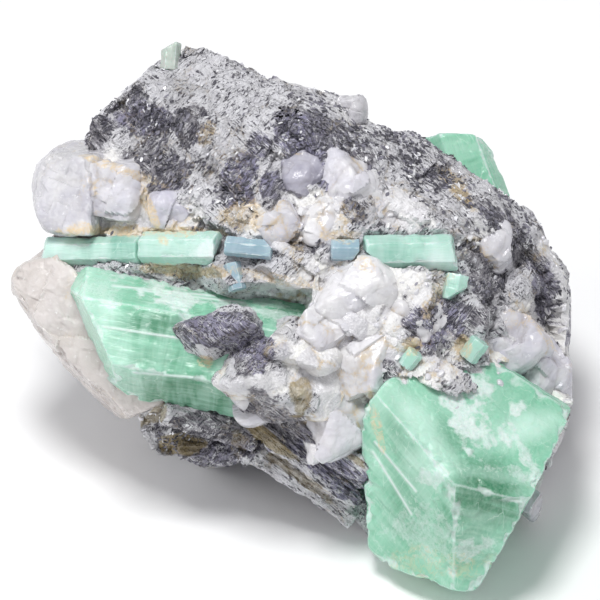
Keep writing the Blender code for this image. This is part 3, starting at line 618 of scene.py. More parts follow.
def rock_cells(points):
    """Height of the part's broken cells: the highest of many tilted domes, whose seeds are on the body."""
    generator = np.random.default_rng(CELL_SEED)
    seeds = rock_body(unit(generator.normal(size=(CELL_COUNT, 3))))
    lift = generator.uniform(-CELL_LIFT, CELL_LIFT, CELL_COUNT)
    tilt = generator.uniform(-CELL_TILT, CELL_TILT, (CELL_COUNT, 3))
    slope = tilt + seeds / CELL_RADIUS
    level = lift - (seeds * tilt).sum(axis=1) - (seeds ** 2).sum(axis=1) / (2 * CELL_RADIUS)
    return (points @ slope.T + level).max(axis=1) - (points ** 2).sum(axis=1) / (2 * CELL_RADIUS)


def rock_masks(points, seams):
    """What the rock is made of at each point: dark mica, violet tint, quartz, beige and golden stain, and
    whether its slivers run down to the right as on the crest. The back has noise in place of patches."""
    front = smooth_step(points[:, 2], -6, 4)
    behind = 1 - front
    lean = clouds(points, 14, 41)
    dark = patches(points, "dark", 42)
    quartz = np.maximum(patches(points, "quartz", 43), behind * smooth_step(lean, 0.45, 0.62))
    dark = np.maximum(dark, behind * smooth_step(clouds(points, 9, 44), 0.5, 0.64) * 0.9)
    seam_stain = (0.5 + 0.4 * quartz) * seams * smooth_step(clouds(points, 6, 46), 0.36, 0.56)
    golden = behind * smooth_step(clouds(points, 7, 48), 0.6, 0.7) * 0.6
    return {
        "dark": dark, "quartz": quartz * (1 - 0.8 * dark * front),
        "stain": np.maximum(patches(points, "stain", 45), seam_stain),
        "gold": np.maximum(patches(points, "gold", 47), golden),
        "violet": np.maximum(patches(points, "violet", 49), behind * lean * 0.6),
        "crest": patches(points, "crest", 50, rim=0.6),
    }


def quartz_masks(points, seams, smoke, lilac):
    """What quartz looks like at each point: smoky, lilac, and stained beige along its seams."""
    seam_stain = 0.85 * seams * smooth_step(clouds(points, 5, 46), 0.35, 0.6)
    return {
        "smoke": smoke + (clouds(points, 4, 47) - 0.5) * 0.5,
        "lilac": np.clip(lilac + (clouds(points, 6, 48) - 0.5) * 0.8, 0, 1),
        "stain": np.maximum(patches(points, "stain", 45), seam_stain),
    }


def crystal_masks(points):
    """What beryl looks like at each point: darker green, partly its own colour and partly painted shade on the
    lower facets of the big emeralds, milky, frosted white, and lined by cleavage.
    """
    return {
        "deep_green_and_shade": patches(points, "deep_green_and_shade", 51, rim=1.2, raggedness=0.4),
        "milk": patches(points, "milk", 52, rim=1.4, raggedness=0.6),
        "frost": patches(points, "frost", 53, rim=0.8, raggedness=2.4, grain=1.6),
        "cleavage": cleavage_lines(points),
        "stain": patches(points, "stain", 45) * 0.7,
    }


def rock_relief(points, quartz, salt=60):
    """Height of the rock's small breaks: blocky facets in quartz, finer ones and thin steps in schist. Also
    how near each point is to a seam between the facets, a mask of painted shade in its crevices, and its
    block's own tone."""
    large, large_gap, large_pick = broken(points, *LARGE_BREAKS, salt)
    small, small_gap, small_pick = broken(points, *SMALL_BREAKS, salt + 4)
    crumbs = clouds(points, CRUMB_SIZE, salt + 8, layers=2) - 0.5
    across_leaves = points @ unit((0.5, -0.55, 0.6)) / LEAF_SPACING
    leaves = np.abs((across_leaves + 2.2 * cloud(points, 5, salt + 9)) % 1 - 0.5)
    blocky = large + 0.6 * small + 0.25 * crumbs
    slaty = 0.75 * large + 0.85 * small + 0.7 * crumbs + 0.8 * leaves
    height = quartz * (blocky - np.median(blocky)) + (1 - quartz) * (slaty - np.median(slaty))
    seams = np.exp(-large_gap / SEAM_WIDTH)
    # Painted shade: how near a point lies to the crevices between facets, for the materials to darken.
    crevice_shade = np.clip(seams * 0.6 + np.exp(-small_gap / CREVICE_SHADE_WIDTH) * 0.4, 0, 1)
    return height, seams, {"crevice_shade": crevice_shade, "block": 0.65 * large_pick + 0.35 * small_pick}


def weathered(points, faces, quartz, salt, share, waves=0):
    """Points moved along their normals by a share of the small breaks, and by waves. Also the seams and
    masks."""
    height, seams, marks = rock_relief(points, quartz, salt)
    return points + normals_of(points, faces) * (share * height + waves)[:, None], seams, marks


def planes_through(table, middle):
    """Bounding planes from rows of a normal and a point on the face: unit normal, and distance from the
    middle."""
    return [(unit(row[:3]), unit(row[:3]) @ (np.array(row[3:]) - middle)) for row in table]


def crystal_shapes():
    """Every crystal and quartz piece of its own, as its name, finish, fineness, middle, axes, bounding
    planes, sharpness, salt and height of ridges. A prism has two ends, six sides and its broken faces. A
    block has its faces and is also cut level over the underside."""
    shapes = []
    for number, (name, row) in enumerate(PRISMS.items()):
        ends, across, flat, turn, side, finish, breaks = row
        start, end = np.reshape(ends, (2, 3))
        axes, middle = frame_along(start, end), (start + end) / 2
        planes = [(way * axes[0], np.linalg.norm(end - start) / 2) for way in (1, -1)]
        for angle in np.radians(60 * np.arange(6) + turn):
            normal = np.array((0, math.sin(angle), -math.cos(angle) / flat))
            apothem = across / 2 * math.cos(math.radians(30))
            planes.append((unit(normal) @ axes, apothem / np.linalg.norm(normal)))
        planes += planes_through(breaks, middle)
        rest = (PRISM_SHARPNESS, 500 + 9 * number, min(1, across / 8))
        shapes.append((name, finish, side, middle, axes, planes, *rest))
    for number, (name, (long_axis, side, finish, table)) in enumerate(BLOCKS.items()):
        middle = np.mean([row[3:] for row in table], axis=0)
        planes = planes_through(table, middle)
        planes.append((unit(DOWN), CENTRE[2] - FOOT_CLEARANCE - unit(DOWN) @ middle))
        quartz = finish in QUARTZ_LOOKS
        rest = (QUARTZ_SHARPNESS if quartz else BLOCK_SHARPNESS, 700 + 9 * number, 0.4 if quartz else 1)
        shapes.append((name, finish, side, middle, frame_along((0, 0, 0), long_axis), planes, *rest))
    return shapes


def tucked_under(points, middle, planes):
    """Points that stand just over a crystal's outer faces, moved along their rays from the middle to just
    under them: a ray leaves the crystal at the nearest of the planes it runs out through."""
    reach = np.linalg.norm(points, axis=1)
    rays = points / reach[:, None]
    facing = np.stack([rays @ normal for normal, _ in planes], 1)
    facing = np.where(abs(facing) < 1e-6, 1e-6, facing)
    crossing = np.array([distance + normal @ middle for normal, distance in planes]) / facing
    enter = np.where(facing < 0, crossing, -np.inf).max(axis=1)
    leave = np.where(facing > 0, crossing, np.inf).min(axis=1)
    covers = (enter < leave) & (reach > leave - TUCK_UNDER) & (reach < leave + TUCK_OVER)
    reach = np.where(covers, np.maximum(leave - TUCK_UNDER, np.minimum(enter, reach)), reach)
    return rays * reach[:, None]


def hollow_reach(rays):
    """Distance at which rays from the middle enter the hollow over the left crystal: a box along it, leant
    by a sixth of a turn as the crystal's side is."""
    start, end = HOLLOW_ENDS
    side = PRISMS["emerald_left"][1] / 2
    lean = math.radians(60)
    turn = np.array([(1, 0, 0), (0, math.cos(lean), math.sin(lean)), (0, -math.sin(lean), math.cos(lean))])
    axes = turn @ frame_along(start, end)
    off_side = side * math.sqrt(3) / 2 + GAP + (HOLLOW_DEPTH - HOLLOW_SINK) / 2
    half = np.array((np.linalg.norm(np.subtract(end, start)), side, HOLLOW_DEPTH + HOLLOW_SINK)) / 2
    return enter_box(rays, np.add(start, end) / 2 + axes[2] * off_side, axes, half)


def make_rock(material, shapes):
    """The block: the part's body on an even ball, moved along its normals by the part's cells and then by
    small breaks, with the hollow and the pits bitten out along the rays from the middle."""
    directions, faces = even_ball(ROCK_SIDE)
    body = rock_body(unit(directions + (0, 0, ROCK_TO_SHOW)))
    outward = normals_of(body, faces)
    cells = rock_cells(body)
    relief = np.clip(RIM_FADE * abs(outward[:, 2]), RIM_RELIEF, 1)
    points = body + outward * ((cells - np.median(cells)) * relief)[:, None]
    reach = np.linalg.norm(points, axis=1)
    rays = points / reach[:, None]
    reach = np.minimum(reach, hollow_reach(rays))
    for row in PITS.values():
        reach = np.minimum(reach, enter_ball(rays, row[:3], row[3:6], row[6]))
    points = rays * reach[:, None]
    height, seams, marks = rock_relief(points, patches(points, "quartz", 43))
    outward = normals_of(points, faces)
    chunks, _, _ = broken(points, *CHUNKS, 90)
    height = np.clip(height + CHUNK_SHARE * (chunks - np.median(chunks)), *RELIEF_LIMITS)
    facing = np.clip(1.6 * abs(outward[:, 2]), 0, 1)
    rim = np.where(height > 0, 0.05 + 0.85 * facing, 0.5 + 0.5 * facing)
    points = points + outward * (height * rim)[:, None]
    for _, _, _, middle, _, planes, _, _, _ in shapes:
        points = tucked_under(points, middle, planes)
    masks = rock_masks(points, seams)
    add_piece("mica_schist_block", points, faces, material, "schist", "matrix", **marks, **masks)
    return points, faces, masks


def lump_shape(centre, half, turn, generator, side, salt):
    """A lump: a ball chipped by planes at random bearings and by three pairs square to each other,
    stretched to its half sizes and turned, with small breaks and waves along its normals. Gives faces,
    points, seams, masks."""
    directions, faces = even_ball(side)
    planes = []
    for _ in range(LUMP_FACETS):
        planes.append((unit(generator.normal(size=3)), generator.uniform(*LUMP_CHIP_DEPTHS)))
    breaks = np.random.default_rng(salt)
    for _ in range(LUMP_SMALL_FACETS):
        planes.append((unit(breaks.normal(size=3)), breaks.uniform(*LUMP_SMALL_DEPTHS)))
    for normal in np.linalg.qr(breaks.normal(size=(3, 3)))[0]:
        for way in (1, -1):
            planes.append((way * normal, breaks.uniform(*LUMP_BLOCK_DEPTHS)))
    reach, _ = plane_reach(directions, planes, LUMP_SHARPNESS)
    swell = LUMP_SWELL if centre[2] > 0 and min(half) > SWOLLEN_ABOVE else 1
    points = directions * reach[:, None] * half * swell @ turned_axes(turn) + centre
    size, height = LUMP_WAVES
    waves = (clouds(points, size, salt + 20) - 0.5) * height
    return faces, *weathered(points, faces, 1, salt, LUMP_RELIEF, waves)


def make_lumps(quartz_material, schist_material):
    """The lumps fused in the block, joined as one piece of quartz and one of schist."""
    generator = np.random.default_rng(LUMP_SEED)
    quartz, schist = [], []
    for number, row in enumerate(LUMPS.values()):
        side = LUMP_SIDE if row[2] > 0 else LUMP_SIDE // 2 + 1
        salt = 300 + 11 * number
        faces, points, seams, marks = lump_shape(row[:3], row[3:6], row[6], generator, side, salt)
        if row[7:]:
            quartz.append((points, faces, {**marks, **quartz_masks(points, seams, *row[7:])}))
        else:
            schist.append((points, faces, {**marks, **rock_masks(points, seams)}))
    add_joined("quartz_lumps", quartz, quartz_material, "quartz_pale")
    add_joined("schist_lumps", schist, schist_material, "schist")


def make_laths(material):
    """The schist laths: boxes with bevelled ends and edges, grooved along their length by thin leaves."""
    parts = []
    for number, row in enumerate(LATHS.values()):
        start, end = np.array(row[:3]), np.array(row[3:6])
        axes = frame_along(start, end)
        half = np.array((np.linalg.norm(end - start) / 2, *row[6:]))
        planes = [(way * axis, size) for axis, size in zip(np.eye(3), half) for way in (1, -1)]
        for way in (-1, 1):
            bevel = unit(LATH_END_BEVEL * np.array((way, 1, way)))
            planes.append((bevel, bevel @ (way * LATH_END_AT * half[0], half[1], 0)))
            bevel = unit(LATH_EDGE_BEVEL * np.array((1, way, 1)))
            planes.append((bevel, bevel @ (0, way * LATH_EDGE_AT * half[1], half[2])))
        directions, faces = even_ball(LATH_SIDE)
        directions = unit(directions * half)
        reach, _ = plane_reach(directions, planes, LATH_SHARPNESS)
        inner = directions * reach[:, None]
        across_leaves = inner[:, 1] * 0.9 + inner[:, 2] * 0.7
        leaves = np.abs((across_leaves + cloud(inner, 6, 80 + number)) % 1 - 0.5)
        points = inner @ axes + (start + end) / 2
        waves = LATH_LEAVES * (leaves - 0.25)
        points, seams, marks = weathered(points, faces, 0, 90 + 5 * number, LATH_RELIEF, waves)
        parts.append((points, faces, {**marks, **rock_masks(points, seams)}))
    add_joined("schist_laths", parts, material, "schist")


def crystal_surface(middle, axes, planes, side, sharpness, salt, ridges):
    """A broken crystal: a body bounded by planes, its edges rounded and chipped, with low ridges along its
    own axis and small steps across it. Gives the points, the faces, the coordinates along its axes and the
    wear."""
    directions, faces = even_ball(side)
    narrow = [min(distance / max(abs(axis @ normal), 0.2) for normal, distance in planes) for axis in axes]
    directions = unit((directions * narrow) @ axes)
    reach, edge = plane_reach(directions, planes, sharpness)
    size = reach.mean()
    points = middle + directions * reach[:, None]
    local = (points - middle) @ axes.T
    chips = smooth_step(clouds(points, min(CHIP_SIZE, size / 3), salt), 0.42, 0.7)
    chips = chips * np.exp(-edge / (CHIP_SHARE * size))
    wave = clouds(points, 9, salt + 3, layers=4) - 0.5
    ridge = cloud(local * (0.12, 1, 1), 0.9, salt + 1) - 0.5
    steps = smooth_step(clouds(local * (1, 0.35, 0.35), 2.2, salt + 2), 0.55, 0.6) - 0.5
    flat = 1 - np.exp(-edge / 0.8)
    height = ridges * (RIDGE_HEIGHT * ridge + STEP_HEIGHT * steps + WAVE_HEIGHT * wave) * flat
    reach = reach + (height - min(CHIP_DEPTH, CHIP_SHARE * size) * chips)
    wear = np.clip(np.exp(-edge / (WEAR_SHARE * size)) * 0.8 + chips, 0, 1)
    return middle + directions * reach[:, None], faces, local, wear


def make_crystals(materials, shapes):
    """Every crystal and quartz piece that is a node of its own: its mesh stands for that node."""
    for name, finish, side, middle, axes, planes, sharpness, salt, ridges in shapes:
        points, faces, local, wear = crystal_surface(middle, axes, planes, side, sharpness, salt, ridges)
        look = materials[LOOKS.get(name, finish)]
        if finish in QUARTZ_LOOKS:
            salt, smoke, lilac = QUARTZ_LOOKS[finish]
            points, seams, marks = weathered(points, faces, 1, salt, QUARTZ_RELIEF)
            masks = {label: QUARTZ_RELIEF * values for label, values in marks.items()}
            masks.update(quartz_masks(points, 0.5 * seams, smoke, lilac))
            add_piece(name + "_piece", points, faces, look, finish, name, **masks)
        else:
            masks = {"wear": wear, **crystal_masks(points)}
            add_piece(name + "_crystal", points, faces, look, finish, name, space=local, **masks)


def strewn(points, faces, weight, count, generator):
    """Random places on a surface, more where the weight is high: the middle and outward direction of faces
    chosen by area times weight."""
    corners, area = face_areas(points, faces)
    share = np.linalg.norm(area, axis=1) * weight[faces].mean(axis=1)
    chosen = generator.choice(len(faces), size=count, p=share / share.sum())
    spot = corners[chosen] * generator.dirichlet(np.ones(4), count)[:, :, None]
    return spot.sum(axis=1), unit(area[chosen])


def copied_faces(faces, points_each, count):
    """The faces of many copies of a small mesh, each counting on from the points of the last."""
    return (faces[None] + points_each * np.arange(count)[:, None, None]).reshape(-1, 4)


def make_grains(rock, material):
    """Quartz grains: small balls of a few dozen faces, each chipped by its own random planes."""
    points, faces, masks = rock
    generator = np.random.default_rng(STREW_SEED)
    weight = masks["quartz"] * (0.15 + 0.85 * (points[:, 2] > 0))
    spots, outward = strewn(points, faces, weight, GRAIN_COUNT, generator)
    directions, ball = even_ball(4)
    chips = unit(generator.normal(size=(GRAIN_COUNT, GRAIN_CHIPS, 3)))
    depths = generator.uniform(0.3, 0.75, (GRAIN_COUNT, GRAIN_CHIPS))
    facing = np.maximum(np.einsum("gkx,dx->gdk", chips, directions), 1e-3)
    reach = np.minimum((depths[:, None, :] / facing).min(axis=2), 1)
    sizes = generator.uniform(*GRAIN_SIZES, (GRAIN_COUNT, 1, 1))
    sizes = sizes * generator.uniform(0.7, 1.3, (GRAIN_COUNT, 1, 3))
    grains = spots[:, None, :] + directions[None] * reach[:, :, None] * sizes - outward[:, None, :] * 0.25
    grains = grains.reshape(-1, 3)
    finish = quartz_masks(grains, np.zeros(len(grains)), 0.05, 0.3)
    finish["block"] = np.repeat(generator.uniform(0, 1, GRAIN_COUNT), len(directions))
    finish["crevice_shade"] = np.zeros(len(grains))
    faces = copied_faces(ball, len(directions), GRAIN_COUNT)
    add_piece("quartz_grains", grains, faces, material, "quartz_pale", smooth=False, **finish)


def make_flakes(name, rock, weight, count, seed, material):
    """Mica flakes: thin six sided plates lying along the surface, tilted a little, longest along the
    slivers' run."""
    points, faces, _ = rock
    generator = np.random.default_rng(seed)
    spots, outward = strewn(points, faces, weight, count, generator)
    crest = generator.uniform(size=count) < patches(spots, "crest", 50, rim=0.6)
    run = np.where(crest, SLIVERS_FALL, SLIVERS_RISE) + generator.normal(0, FLAKE_SPREAD, count)
    along = np.stack([np.cos(run), np.sin(run), np.zeros(count)], -1)
    tilted = unit(outward + generator.normal(0, FLAKE_LEAN, (count, 3)))
    along = unit(along - tilted * (along * tilted).sum(axis=1, keepdims=True))
    beside = np.cross(tilted, along)
    long_half = generator.uniform(*FLAKE_LENGTHS, count)
    short_half = long_half * generator.uniform(0.3, 0.7, count)
    corner = np.arange(6) * math.pi / 3 + generator.uniform(0, 0.6, (count, 6))
    rim = np.cos(corner)[:, :, None] * (along * long_half[:, None])[:, None]
    rim = rim + np.sin(corner)[:, :, None] * (beside * short_half[:, None])[:, None]
    thick = (tilted * generator.uniform(0.04, 0.09, (count, 1)))[:, None]
    middle = (spots + outward * generator.uniform(0, 0.22, (count, 1)))[:, None]
    plates = np.concatenate([middle + rim - thick, middle + rim + thick], axis=1).reshape(-1, 3)
    below, above = np.arange(6), np.arange(6, 12)
    sides = np.stack([below, np.roll(below, -1), np.roll(above, -1), above], -1)
    caps = [(6, 7, 8, 9), (6, 9, 10, 11), (3, 2, 1, 0), (5, 4, 3, 0)]
    shade = np.repeat(generator.uniform(0, 1, count), 12)
    faces = copied_faces(np.concatenate([sides, caps]), 12, count)
    add_piece(name, plates, faces, material, "schist", smooth=False, shade=shade)


def feed(node, inputs):
    """Sets a node's inputs, by name or number, to constants, or joins them to wires."""
    for label, value in inputs.items():
        if isinstance(value, Wire):
            node.id_data.links.new(value.socket, node.inputs[label])
        else:
            node.inputs[label].default_value = value


class Wire:
    """One output of a shader node. Each method adds a node that takes it in, and gives that node's
    output."""

    def __init__(self, tree, socket):
        self.tree, self.socket = tree, socket

    def into(self, kind, inputs, output=0, **settings):
        """A new node of that kind, with its settings and its inputs fed."""
        node = self.tree.nodes.new(kind)
        for label, value in settings.items():
            setattr(node, label, value)
        feed(node, inputs)
        return Wire(self.tree, node.outputs[output])

    def math(self, operation, other=0):
        """This and another value, put together by that operation."""
        return self.into("ShaderNodeMath", {0: self, 1: other}, operation=operation)

    def __add__(self, other):
        return self.math("ADD", other)

    def __sub__(self, other):
        return self.math("SUBTRACT", other)

    def __mul__(self, other):
        return self.math("MULTIPLY", other)

    def span(self, low, high, to_low=0, to_high=1):
        """A smooth step: to_low where this is below low, to_high where it is above high."""
        inputs = dict(enumerate((self, low, high, to_low, to_high)))
        return self.into("ShaderNodeMapRange", inputs, interpolation_type="SMOOTHSTEP")

    def mix(self, first, second, blend="MIX"):
        """The first colour where this is 0, blended with the second as it nears 1."""
        inputs = {0: self, 6: first, 7: second}
        return self.into("ShaderNodeMix", inputs, 2, data_type="RGBA", blend_type=blend, clamp_factor=True)

    def noise(self, scale, detail=3, roughness=0.6, distortion=0):
        """Rough noise at these coordinates."""
        inputs = {"Vector": self, "Scale": scale, "Detail": detail, "Roughness": roughness}
        return self.into("ShaderNodeTexNoise", {**inputs, "Distortion": distortion}, "Fac")

    def voronoi(self, scale, feature="F1"):
        """Distance to the nearest cell's middle, or to its edge, at these coordinates."""
        inputs = {"Vector": self, "Scale": scale}
        return self.into("ShaderNodeTexVoronoi", inputs, "Distance", feature=feature)

    def bent(self, scale, amount):
        """These coordinates, pushed about by the colours of a noise."""
        wobble = self.into("ShaderNodeTexNoise", {"Vector": self, "Scale": scale}, "Color")
        inputs = {0: wobble, 1: (amount, amount, amount), 2: self}
        return self.into("ShaderNodeVectorMath", inputs, operation="MULTIPLY_ADD")

    def turned(self, angle, scale):
        """These coordinates in a frame turned about Z, then multiplied by the scale along each of its
        axes."""
        inputs = {"Vector": self, "Rotation": (0, 0, angle), "Scale": [1 / part for part in scale]}
        return self.into("ShaderNodeMapping", inputs, vector_type="TEXTURE")

    def group(self, name, **inputs):
        """The outputs, by name, of the node group with that name at these coordinates."""
        node = self.tree.nodes.new("ShaderNodeGroup")
        node.node_tree = bpy.data.node_groups[name]
        feed(node, {"Vector": self, **inputs})
        return {socket.name: Wire(self.tree, socket) for socket in node.outputs}


def new_group(name, inputs, outputs):
    """An empty shader node group that takes coordinates and the given inputs, each a number or a colour.
    Gives its inputs as wires by name, and its output node."""
    tree = bpy.data.node_groups.new(name, "ShaderNodeTree")
    kinds = {1: "NodeSocketFloat", 3: "NodeSocketVector", 4: "NodeSocketColor"}
    for label, value in {"Vector": (0, 0, 0), **inputs}.items():
        socket = tree.interface.new_socket(label, in_out="INPUT", socket_type=kinds[np.size(value)])
        socket.default_value = value
    for label, size in outputs.items():
        tree.interface.new_socket(label, in_out="OUTPUT", socket_type=kinds[size])
    given = tree.nodes.new("NodeGroupInput").outputs
    return {socket.name: Wire(tree, socket) for socket in given}, tree.nodes.new("NodeGroupOutput")


def slivers_group():
    """Thin slivers that run up to the right, or down to the right on the crest: noise stretched along their
    run and cut at a level that gives the asked share, with pale wisps along its middle level."""
    inputs = {"Crest": 0, "Share": 0.5, "Size": 1}
    given, out = new_group("slivers", inputs, {"Mask": 1, "Field": 1, "Wisp": 1})
    space, size = given["Vector"], given["Size"]
    rise = space.turned(SLIVERS_RISE, (0.26, 1.15, 0.8)).noise(size, 3, 0.62, 0.7)
    fall = space.turned(SLIVERS_FALL, (0.16, 1.3, 0.9)).noise(size, 3, 0.62, 0.4)
    turn = given["Crest"].math("MAXIMUM", space.noise(0.11, 2).span(0.5, 0.58))
    both = turn.mix(rise, fall)
    level = given["Share"].span(0, 1, 0.7, 0.36)
    loose = space.turned(SLIVERS_RISE, (0.4, 1, 0.8)).noise(1, 4, 0.62, 1.6)
    tight = space.turned(SLIVERS_FALL, (0.16, 1.2, 0.9)).noise(1.5, 4, 0.62, 0.6)
    apart = (turn.mix(loose, tight) - 0.5).math("ABSOLUTE")
    wisp = apart.span(0.012, 0.045, 1, 0)
    feed(out, {"Mask": (both - level).span(-0.006, 0.014), "Field": both, "Wisp": wisp})


def stain_group():
    """Iron stain over a colour: beige where there is a little and along thin threads, and golden brown
    where there is much gold, both made patchy by noise."""
    given, out = new_group("iron_stain", {"Colour": (1, 1, 1, 1), "Stain": 0, "Gold": 0}, {"Colour": 4})
    space = given["Vector"]
    patchy = space.noise(1.1, 4, 0.65)
    thread = (space.noise(0.6, 4, 0.6, 0.8) - 0.5).math("ABSOLUTE").span(0, 0.09, 1, 0)
    beige = patchy.mix(srgb(246, 234, 204), srgb(214, 178, 118))
    share = (given["Stain"] * 0.8 + thread * 0.35 + patchy * 0.5).span(0.55, 1.4, 0, 0.85)
    golden = patchy.mix(srgb(196, 174, 112), srgb(136, 118, 76))
    gold_share = (given["Gold"] + patchy * 0.8).span(0.8, 1.5, 0, 0.75)
    feed(out, {"Colour": gold_share.mix(share.mix(given["Colour"], beige), golden)})


def crumbs_group():
    """Fine broken texture for bump: cells with sharp borders and rough noise over them, and glinting
    spots."""
    given, out = new_group("crumbs", {"Size": 1}, {"Height": 1, "Glint": 1})
    space, size = given["Vector"], given["Size"]
    height = space.voronoi(size * 1.3) + space.noise(size * 2.2, 3, 0.7)
    feed(out, {"Height": height, "Glint": space.noise(3.1, 2).span(0.62, 0.7)})


def veil_group():
    """Milky veils, streaks and thin cracks in a crystal, longer along its own X axis: a mask of each."""
    given, out = new_group("veils", {}, {"Veil": 1, "Streak": 1, "Crack": 1})
    space = given["Vector"]
    veil = space.turned(0, (1, 0.16, 0.16)).noise(0.42, 3, 0.6, 0.4).span(0.38, 0.68)
    streak = space.turned(0, (0.1, 1, 1)).noise(1.5, 4, 0.65).span(0.35, 0.72)
    bent = space.turned(0.3, (0.35, 1, 1)).bent(0.7, 1.6)
    crack = bent.voronoi(0.33, "DISTANCE_TO_EDGE").span(0, 0.03, 1, 0)
    feed(out, {"Veil": veil, "Streak": streak, "Crack": crack * space.noise(0.35, 2).span(0.48, 0.6)})


def new_material(name, masks):
    """A material, then as wires the coordinates that a piece stores, and its masks."""
    material = bpy.data.materials.new(name)
    material.use_nodes = True
    tree = material.node_tree
    nodes = [tree.nodes.new("ShaderNodeAttribute") for _ in range(len(masks) + 1)]
    for node, label in zip(nodes, ("grain_space", *masks)):
        node.attribute_name = label
    wires = [Wire(tree, node.outputs["Fac"]) for node in nodes[1:]]
    return material, Wire(tree, nodes[0].outputs["Vector"]), wires


def finish_material(material, colour, roughness, height, depth, strength, **settings):
    """Feeds a material's Principled shader: colour, roughness, bump of that depth in millimetres, and
    settings."""
    bump = height.into("ShaderNodeBump", {"Height": height, "Distance": depth * MM, "Strength": strength})
    inputs = {"Base Color": colour, "Roughness": roughness, "Normal": bump}
    inputs.update({label.replace("_", " "): value for label, value in settings.items()})
    feed(material.node_tree.nodes["Principled BSDF"], inputs)
    return material


def schist_material():
    """Mica schist: white quartz and feldspar flecked with black slivers, nearly all dark in its dark
    patches, with glassy quartz, violet tint, beige and golden stain where the masks say, and painted shade
    darkening its crevices."""
    masks = ("dark", "quartz", "violet", "block", "crest", "stain", "gold", "crevice_shade")
    material, space, wires = new_material("mica_schist", masks)
    dark, quartz, violet, block, crest, stain, gold, crevice_shade = wires
    blotch = space.noise(0.45, 4, 0.65)
    dark_here = (dark + (block * 0.55 + blotch * 1.3)).span(1.15, 1.55)
    share = dark_here * 0.14 + blotch.span(0.3, 0.7, 0.24, 0.58)
    slivers = space.group("slivers", Crest=crest, Share=share, Size=2)
    cloudy = space.noise(1.1, 4)
    white = cloudy.mix(srgb(255, 255, 255), srgb(228, 226, 236))
    glassy = block.mix(srgb(255, 254, 248), srgb(206, 204, 212))
    violet_dark = space.noise(0.9, 4).mix(srgb(104, 100, 138), srgb(190, 186, 216))
    plain_dark = cloudy.mix(srgb(72, 70, 76), srgb(190, 186, 194))
    ground = (dark_here * 0.95).mix(quartz.mix(white, glassy), violet.mix(plain_dark, violet_dark))
    black = space.noise(1.5, 2).mix(srgb(24, 23, 28), srgb(110, 107, 122))
    flecked = (slivers["Mask"] * quartz.span(0.25, 1, 0.95, 0.06)).mix(ground, black)
    gathered = space.noise(0.5).span(0.42, 0.6, 0.1, 0.95)
    wispy = (slivers["Wisp"] * gathered).mix(flecked, srgb(250, 249, 252))
    stained = space.group("iron_stain", Colour=wispy, Stain=stain, Gold=gold)["Colour"]
    # Painted shade: colour multiplied towards dark grey in the crevices, less where it is quartz.
    colour = (crevice_shade * quartz.span(0, 1, 0.42, 0.3)).mix(stained, srgb(58, 52, 54), "MULTIPLY")
    crumbs = space.group("crumbs", Size=1.5)
    roughness = quartz.mix(crumbs["Glint"].span(0, 1, 0.62, 0.28), (0.3, 0.3, 0.3, 1))
    leafy = slivers["Field"] * quartz.span(0, 1, 2.4, 0.3)
    gritty = crumbs["Height"] * quartz.span(0, 1, 1, 0.35)
    return finish_material(material, colour, roughness, gritty + leafy, 0.5, 0.9)


def quartz_material(name, white, lilac, smoke, clear):
    """Milky quartz: translucent and glassy, tinted by its masks, dulled where it is bruised, stained at
    seams, and darkened in its crevices by painted shade."""
    material, space, wires = new_material(name, ("lilac", "smoke", "block", "stain", "crevice_shade"))
    lilac_here, smoke_here, block, stain, crevice_shade = wires
    veil = space.noise(0.35, 4)
    toned = (lilac_here * veil.span(0.3, 0.7, 0.4, 1)).mix(white, lilac)
    toned = (smoke_here * veil.span(0.25, 0.75, 0.6, 1)).mix(toned, smoke)
    toned = (block * 0.5).mix(toned, lilac)
    bruise = space.noise(0.9, 5, 0.7).span(0.58, 0.76)
    toned = (bruise * 0.7).mix(toned, srgb(254, 254, 254))
    stained = space.group("iron_stain", Colour=toned, Stain=stain)["Colour"]
    # Painted shade: colour multiplied towards warm grey in the crevices.
    colour = (crevice_shade * 0.5).mix(stained, srgb(158, 146, 134), "MULTIPLY")
    height = space.group("crumbs", Size=0.7)["Height"]
    return finish_material(
        material, colour, bruise.span(0, 1, 0.16, 0.5), height, 0.16, 0.7, IOR=1.54,
        Subsurface_Weight=clear, Subsurface_Scale=2.2 * MM, Subsurface_Radius=(1, 0.95, 1),
    )


def beryl_material(name, milk, body, deep_green_and_shade):
    """Milky beryl: body colour drawn out along the crystal, paler and deeper by its masks, the deeper green
    partly its own and partly painted shade on the lower facets of the big emeralds, with white veils, thin
    cracks, frosted bruises and worn white edges."""
    material, space, wires = new_material(name, ("deep_green_and_shade", "milk", "frost", "wear", "cleavage", "stain"))
    deep_green_and_shade_here, milk_here, frost, wear, cleavage, stain = wires
    veils = space.group("veils")
    # Darker green where the mask says: partly the beryl's own colour, partly painted shade on lower facets.
    toned = (deep_green_and_shade_here * 0.9).mix(body, deep_green_and_shade)
    toned = (milk_here * 0.7 + veils["Veil"] * 0.34).mix(toned, milk)
    toned = (veils["Streak"] * 0.2).mix(toned, milk)
    toned = (veils["Crack"] * 0.35).mix(toned, srgb(226, 246, 236))
    patchy = space.noise(1.7, 6, 0.75)
    frosted = (frost + patchy * 1.6).span(0.95, 2)
    worn = (wear + patchy * 0.6).span(0.75, 1.25, 0, 0.75)
    white = frosted.math("MAXIMUM", worn.math("MAXIMUM", cleavage))
    toned = (white * 0.8).mix(toned, srgb(234, 244, 242))
    colour = space.group("iron_stain", Colour=toned, Stain=stain)["Colour"]
    height = space.group("crumbs", Size=1.1)["Height"] * white.span(0, 1, 0.12, 0.8) + veils["Streak"] * 0.5
    return finish_material(
        material, colour, white.span(0, 1, 0.27, 0.6), height, 0.14, 0.7, IOR=1.58,
        Subsurface_Weight=0.35, Subsurface_Scale=2.4 * MM, Subsurface_Radius=(0.5, 1, 0.8),
    )


